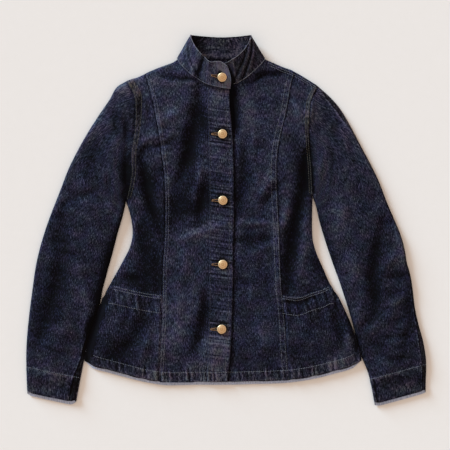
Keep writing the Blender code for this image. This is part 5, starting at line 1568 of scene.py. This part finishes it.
def brass():
    """Satin brass: brushed, browner in the low places, pale where it is rubbed."""
    material, tree, shader = new_finish("button_brass")
    here = add(tree, "ShaderNodeTexCoord").outputs["Object"]
    mottle = noise(tree, here, 900.0, 3.0, 0.6)
    fine = noise(tree, here, 3600.0, 2.0, 0.5)
    low = add(tree, "ShaderNodeAttribute", attribute_name="low").outputs["Fac"]
    browner = sum_of(tree, "MULTIPLY_ADD", mottle, 0.9, low)
    feed(tree, shader.inputs["Base Color"],
         blended(tree, browner, (0.86, 0.66, 0.42, 1.0), (0.50, 0.31, 0.14, 1.0)))
    constants(shader, Metallic=0.75)
    feed(tree, shader.inputs["Roughness"], sum_of(tree, "MULTIPLY_ADD", fine, 0.25, 0.34))
    roughened(tree, shader, fine, 0.25, 0.1)
    return material


def spun_button(number, where, material):
    """Cap and shank turned in one, browner in its grooves."""
    bm = bmesh.new()
    profile = BUTTON_PROFILE + ((SHANK_RADIUS, -SHANK_DOWN), (0.0, -SHANK_DOWN))
    chain = [bm.verts.new((r * MM, 0.0, z * MM)) for r, z in profile]
    edges = [bm.edges.new(pair) for pair in zip(chain, chain[1:])]
    bmesh.ops.spin(bm, geom=chain + edges, cent=(0, 0, 0), axis=(0, 0, 1), dvec=(0, 0, 0),
                   angle=2 * math.pi, steps=BUTTON_STEPS, use_merge=True, use_duplicate=False)
    bmesh.ops.remove_doubles(bm, verts=bm.verts[:], dist=0.00001)
    bmesh.ops.recalc_face_normals(bm, faces=bm.faces[:])
    reach = [math.hypot(vertex.co.x, vertex.co.y) / MM for vertex in bm.verts]
    button = placed_piece(f"brass_button_{number}", bm, (material,), where)
    reach = np.array(reach)
    low = (0.75 * bell(reach - RING_RADIUS, 0.45) + 0.45 * bell(reach - INNER_RING, 0.5)
           + 0.18 * (reach < 5.9) + 0.12 * (reach < 2.5))
    button.data.attributes.new("low", "FLOAT", "POINT").data.foreach_set("value", low)
    button.data.shade_smooth()
    button.data.set_sharp_from_angle(angle=math.radians(40))
    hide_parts(f"button_{number}")
    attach(button, "root")


def cut_through(piece, cutters):
    """Cuts buttonholes through a piece that is done otherwise."""
    for cutter in cutters:
        hole = piece.modifiers.new(cutter.name, "BOOLEAN")
        hole.operation = "DIFFERENCE"
        hole.solver = "EXACT"
        hole.object = cutter
    solid_from(piece)
    for cutter in cutters:
        bpy.data.objects.remove(cutter)


button_frames = [collar_frame(*TAB_BUTTON) @ Matrix.Rotation(TAB_HOLE_TURN, 4, "Z")]
for number in range(2, 6):
    low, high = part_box(f"button_{number}")
    middle = (Vector(low) + Vector(high)) / 2
    button_frames.append(Matrix.Translation((middle.x, middle.y, high[2] - BUTTON_CROWN * MM)))
cut_through(collar, [keyhole_cutter("hole_1", button_frames[0])])
cut_through(front_band, [keyhole_cutter(f"hole_{k}", button_frames[k - 1]) for k in range(2, 6)])
button_brass = brass()
for number, where in enumerate(button_frames, start=1):
    spun_button(number, where, button_brass)

for piece, node, material_slot, flat, area, under_it in (
        (front_band, "front_band", "band_denim", (0.046, 0.570), 0.0243,
         ["front_right_cloth", "front_left_cloth"]),
        (collar, "collar", "band_denim", (0.470, 0.048), 0.0215,
         ["front_left_cloth", "back_cloth"])):
    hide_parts(node)
    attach(piece, "root")

# ---------------------------------------------------------------- thread
# Rows of topstitching, each stitch a short twisted bar sunk a little in the cloth. The armholes
# are sewn in olive-brown thread, buttonholes in tan, the rest in faded grey-blue.
STITCH_STEP = 3.3
STITCH_LONG = 2.6
STITCH_THICK = 0.75
PAST_SLEEVE = 14.0  # a cuff's row is traced this far past the sleeve's edges
SUNK = 0.1  # a stitch sinks twice this far in the cloth
SUNK_BELOW = 0.28  # pressed flatter where the jacket rests on it
LOW_CLOTH = 1.5  # no stitch is seated on top lower than this, nor underneath higher
LINE_STEP = 3.0  # of the lines they follow, and from stitch to stitch on the collar
COLLAR_STITCH = (2.3, 0.7)  # their length and thickness there


def thread(name, colour, dark):
    """Twisted cotton thread, its strands and their shade from noise along the object."""
    material, tree, shader = new_finish(name)
    here = add(tree, "ShaderNodeTexCoord").outputs["Object"]
    strand = noise(tree, here, 1500.0, 2.0, 0.6)
    patch = noise(tree, here, 60.0, 2.0, 0.6)
    lit = sum_of(tree, "MULTIPLY_ADD", patch, 1.4, sum_of(tree, "MULTIPLY", strand, 0.8))
    feed(tree, shader.inputs["Base Color"],
         blended(tree, sum_of(tree, "SUBTRACT", lit, 0.6), (*dark, 1.0), (*colour, 1.0)))
    constants(shader, Roughness=0.7, Specular_IOR_Level=0.25)
    roughened(tree, shader, strand, 0.4, 0.1)
    return material


class Ground:
    """Faces of dressed pieces together, to seat what is sewn on them."""

    def __init__(self, names):
        bm = bmesh.new()
        for name in names:
            bm.from_mesh(bpy.data.objects[name].data)
        bmesh.ops.triangulate(bm, faces=bm.faces[:])
        self.tree = BVHTree.FromBMesh(bm)
        bm.free()

    def under(self, x, y, start=40.0):
        """First face met, with its normal, downwards from a start over it or up from below."""
        way = Vector((0, 0, -1 if start > 0 else 1))
        spot, normal, _, _ = self.tree.ray_cast(Vector((x, y, start)) * MM, way)
        return spot, normal


PAIRED = ("side_front", "front", "pocket", "upper_sleeve", "under_sleeve")
ground = Ground([f"{kind}_{side}_cloth" for kind in PAIRED for side in ("left", "right")]
                + ["front_band_cloth", "collar_cloth"])
underside = Ground(["back_cloth", "under_sleeve_left_cloth", "under_sleeve_right_cloth"])


def even_places(line, step):
    """Places along a plan line at an even step."""
    line = np.array(line, float)
    travelled = np.concatenate(([0.0], np.cumsum(np.hypot(*np.diff(line, axis=0).T))))
    at = np.arange(step / 2, travelled[-1], step)
    return np.column_stack([np.interp(at, travelled, column) for column in line.T])


def one_stitch(bm, spot, way, normal, long, thick, sunk=SUNK):
    """A short bar of thread along a way on the cloth."""
    way = (way - normal * way.dot(normal)).normalized()
    frame_here = Matrix((way, normal.cross(way), normal)).transposed().to_4x4()
    frame_here.translation = spot + normal * (thick / 2 - sunk * 2) * MM
    size = Matrix.Diagonal((long / 2 * MM, thick / 2 * MM, thick / 2 * MM, 1.0))
    bmesh.ops.create_icosphere(bm, subdivisions=1, radius=1.0, matrix=frame_here @ size)


def sewn_on(name, bm, material):
    """Stitches as one piece on the jacket."""
    piece = placed_piece(name, bm, (material,))
    piece.data.shade_smooth()
    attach(piece, "root")


def sewn(name, lines, material, thick=STITCH_THICK, below=False):
    """Rows of stitches seated on the cloth, on top or on its underside, as one piece."""
    whole = bmesh.new()
    for line in lines:
        places = even_places(line, STITCH_STEP)
        ways = np.gradient(places, axis=0)
        row = bmesh.new()
        for (x, y), way in zip(places, ways):
            spot, normal = underside.under(x, y, -20.0) if below else ground.under(x, y)
            if spot is None or (spot.z < LOW_CLOTH * MM) != below:
                continue
            one_stitch(row, spot, Vector((*way, 0.0)), normal, STITCH_LONG, thick,
                       SUNK_BELOW if below else SUNK)
        mesh = bpy.data.meshes.new("row")
        row.to_mesh(mesh)
        row.free()
        whole.from_mesh(mesh)
        bpy.data.meshes.remove(mesh)
    sewn_on(name, whole, material)


def beside_line(line, start, end, offset):
    """Plan line at an offset in X from a seam x = line(y)."""
    y = spaced(start, end, LINE_STEP)
    offset = np.interp(y, *np.transpose(offset)) if isinstance(offset, tuple) else offset
    return np.column_stack((line(y) + offset, y))


def below_line(line, start, end, drop):
    """Plan line at a drop below an edge y = line(x)."""
    x = spaced(start, end, LINE_STEP)
    return np.column_stack((x, line(x) - drop))


faded_thread = thread("faded_thread", (0.27, 0.28, 0.31), (0.10, 0.105, 0.125))
dark_thread = thread("dark_thread", (0.085, 0.085, 0.10), (0.03, 0.03, 0.045))
olive_thread = thread("olive_thread", (0.125, 0.115, 0.10), (0.055, 0.05, 0.042))
pale_thread = thread("pale_thread", (0.30, 0.295, 0.34), (0.12, 0.12, 0.14))
worn_thread = thread("worn_thread", (0.21, 0.22, 0.25), (0.05, 0.052, 0.07))
seam_thread = thread("seam_thread", (0.17, 0.17, 0.19), (0.07, 0.07, 0.085))

second_left = ARMHOLE_ROWS["left"]
second_right = tuple((y, -inset) for y, inset in ARMHOLE_ROWS["right"])
shoulder = partial(through, SHOULDER_RIGHT)
sewn("armhole_rows_left", (beside_line(left_line, 40, 262, ARMHOLE_ROW),
                           beside_line(left_line, 44, 258, second_left)), olive_thread)
sewn("armhole_rows_right", (beside_line(right_line, 50, 250, -ARMHOLE_ROW),
                            beside_line(right_line, 52, 248, second_right)), olive_thread)
sewn("princess_rows_left_high", (beside_line(princess_left, -18, 280, LEFT_ROWS[0]),
                                 beside_line(princess_left, -18, 276, LEFT_ROWS[1])),
     seam_thread)
sewn("princess_rows_left_low", (beside_line(princess_left, -286, -18, LEFT_ROWS[0]),
                                beside_line(princess_left, -286, -18, LEFT_ROWS[1])),
     worn_thread)
sewn("princess_rows_right", (beside_line(princess_right, -284, 280, -RIGHT_ROWS[0]),
                             beside_line(princess_right, -284, 276, -RIGHT_ROWS[1])),
     worn_thread)
sewn("shoulder_rows_right", (below_line(shoulder, 80, 170, 5.5),
                             below_line(shoulder, 82, 168, 9.5)), faded_thread)
sewn("band_rows", (beside_line(band_edge, -302, 240, -BAND_ROW),
                   beside_line(band_seam, -302, 252, BAND_SEAM_ROWS[0])), dark_thread)


def hem_row(start, end, deep):
    """Plan line at a depth inside the hem, square to its edge."""
    x = spaced(start, end, LINE_STEP)
    y = through(HEM, x)
    slope = np.gradient(y, x)
    size = np.sqrt(1 + slope ** 2)
    return np.column_stack((x - deep * slope / size, y + deep / size))


sewn("hem_row", (hem_row(-262, 2, HEM_DEEP), hem_row(4, 252, HEM_DEEP)), faded_thread)
POCKET_REACH = {  # x of the mouth's rows, x of the facing's
    "left": ((-214, -123), (-224, -123)), "right": ((107, 194), (107, 204)),
}
for side, (mouth_run, facing_run) in POCKET_REACH.items():
    sewn(f"pocket_rows_{side}", (
        below_line(pocket_top, *mouth_run, MOUTH_ROW),
        below_line(pocket_top, *mouth_run, MOUTH_SECOND[side]),
        below_line(pocket_top, *facing_run, FACING_DEEP)), faded_thread)


def cuff_row(cuff):
    """Plan line across a sleeve at the cuff's depth, from past one edge to past the other."""
    start, end = cuff[0][0], cuff[1][0]
    run = unit(end - start)
    back_in = np.array((-run[1], run[0])) * CUFF_DEEP
    return np.array((start - PAST_SLEEVE * run + back_in, end + PAST_SLEEVE * run + back_in))


cuffs = (cuff_row(CUFF_LEFT_EDGE), cuff_row(CUFF_RIGHT_EDGE))
sewn("cuff_rows", cuffs, worn_thread, thick=0.95)
sewn("hem_row_back", (hem_row(-258, 248, HEM_DEEP - HEM_SHOW),), faded_thread,
     below=True)
sewn("cuff_rows_below", cuffs, worn_thread, below=True)


def on_collar(name, up_at, start, end, material):
    """A row of stitches round the collar's outer face."""
    bm = bmesh.new()
    shares_round = np.arange(start, end, LINE_STEP / COLLAR_LONG)
    spots = collar_points(shares_round, [up_at])[0]
    ways = np.gradient(spots, axis=0)
    tree = BVHTree.FromObject(collar, bpy.context.evaluated_depsgraph_get())
    for spot, way in zip(spots, ways):
        place, normal, _, _ = tree.find_nearest(Vector(spot) * MM)
        one_stitch(bm, place, Vector(way), normal, *COLLAR_STITCH)
    sewn_on(name, bm, material)


for row, up_at, start, end, row_thread in (  # shares of the collar's height and length
        ("row_low", 0.1, 0.006, 0.40, dark_thread), ("row_high", 0.9, 0.006, 0.40, dark_thread),
        ("seam_low", 0.02, 0.003, 0.41, seam_thread),
        ("seam_low_right", 0.02, 0.66, 0.96, pale_thread),
        ("edge_high", 0.985, 0.003, 0.41, pale_thread),
        ("edge_high_right", 0.985, 0.66, 0.96, pale_thread)):
    on_collar(f"collar_{row}", up_at, start, end, row_thread)

SLOT_WORKED = -7.0  # the worked edge starts past the cap, x from the button's middle
WORKED_STEP = 0.75
WORKED_LONG = 1.8
WORKED_HIGH = 0.35
tan_thread = thread("tan_thread", (0.42, 0.23, 0.11), (0.16, 0.08, 0.04))
for number, where in enumerate(button_frames, start=1):
    bm = bmesh.new()
    turn = where.to_3x3()
    out_way = turn @ Vector((0, 0, 1))
    for side_of in (-1, 1):
        for at in np.arange(SLOT_WORKED, -HOLE_LONG, -WORKED_STEP):
            half = np.interp(at, (-HOLE_LONG, -2.1), (HOLE_SLOT / 2, 2.05)) + 0.75
            spot = where @ (Vector((at, side_of * half, WORKED_HIGH)) * MM)
            one_stitch(bm, spot, turn @ Vector((0.35, 1.0, 0.0)), out_way, WORKED_LONG, 0.62, 0.0)
    for across_bar in np.arange(-1.3, 1.4, 0.55):
        spot = where @ (Vector((-HOLE_LONG - 0.4, across_bar, WORKED_HIGH)) * MM)
        one_stitch(bm, spot, turn @ Vector((1, 0, 0)), out_way, WORKED_LONG, 0.6, 0.0)
    sewn_on(f"buttonhole_thread_{number}", bm, tan_thread)

# ---------------------------------------------------------------- table, light and camera
# A plain warm-white table top, a soft window-like light from the upper left and a soft fill;
# the camera hangs straight above.
TABLE_SIZE = 6.0  # m
TABLE_DROP = 0.2  # mm below the jacket, for the stitches of its underside
WINDOW_WAY = (-0.68, 0.73, 0.215)
WINDOW_SPREAD = math.radians(21.0)
WINDOW_LIGHT = (0.59, 0.82, 1.0)
ROOM_LIGHT = (1.0, 0.805, 0.675, 1.0)
CAMERA_PLACE = (-0.0022, -0.0083, 2.033)


def table_top():
    """Matt paint with a hardly visible grain."""
    bm = bmesh.new()
    bmesh.ops.create_grid(bm, x_segments=2, y_segments=2, size=TABLE_SIZE / 2)
    material, tree, shader = new_finish("table_paint")
    here = add(tree, "ShaderNodeTexCoord").outputs["Object"]
    feed(tree, shader.inputs["Base Color"],
         blended(tree, noise(tree, here, 60.0, 3.0, 0.6), (0.795, 0.785, 0.765, 1.0),
                 (0.815, 0.805, 0.790, 1.0)))
    constants(shader, Roughness=0.9, Specular_IOR_Level=0.1)
    table = placed_piece("table_top", bm, (material,), Matrix.Translation((0, 0, -TABLE_DROP * MM)))


def sun_light(name, towards, spread, strength, colour):
    """Light from far away, its direction given as the way to it."""
    lamp = bpy.data.lights.new(name, "SUN")
    lamp.angle = spread
    lamp.energy = strength
    lamp.color = colour
    holder = bpy.data.objects.new(name, lamp)
    bpy.context.scene.collection.objects.link(holder)
    holder.rotation_euler = (-Vector(towards)).to_track_quat("-Z", "Y").to_euler()


table_top()
sun_light("window_light", WINDOW_WAY, WINDOW_SPREAD, 7.0, WINDOW_LIGHT)
world = bpy.data.worlds.new("room")
world.use_nodes = True
constants(world.node_tree.nodes["Background"], Color=ROOM_LIGHT, Strength=0.755)
bpy.context.scene.world = world
bpy.context.scene.view_settings.view_transform = "Standard"
bpy.context.scene.view_settings.look = "None"

lens = bpy.data.cameras.new("overhead")
lens.lens = 85.0
lens.sensor_width = 36.0
lens.clip_start = 0.05
camera = bpy.data.objects.new("overhead", lens)
bpy.context.scene.collection.objects.link(camera)
camera.location = CAMERA_PLACE
bpy.context.scene.camera = camera
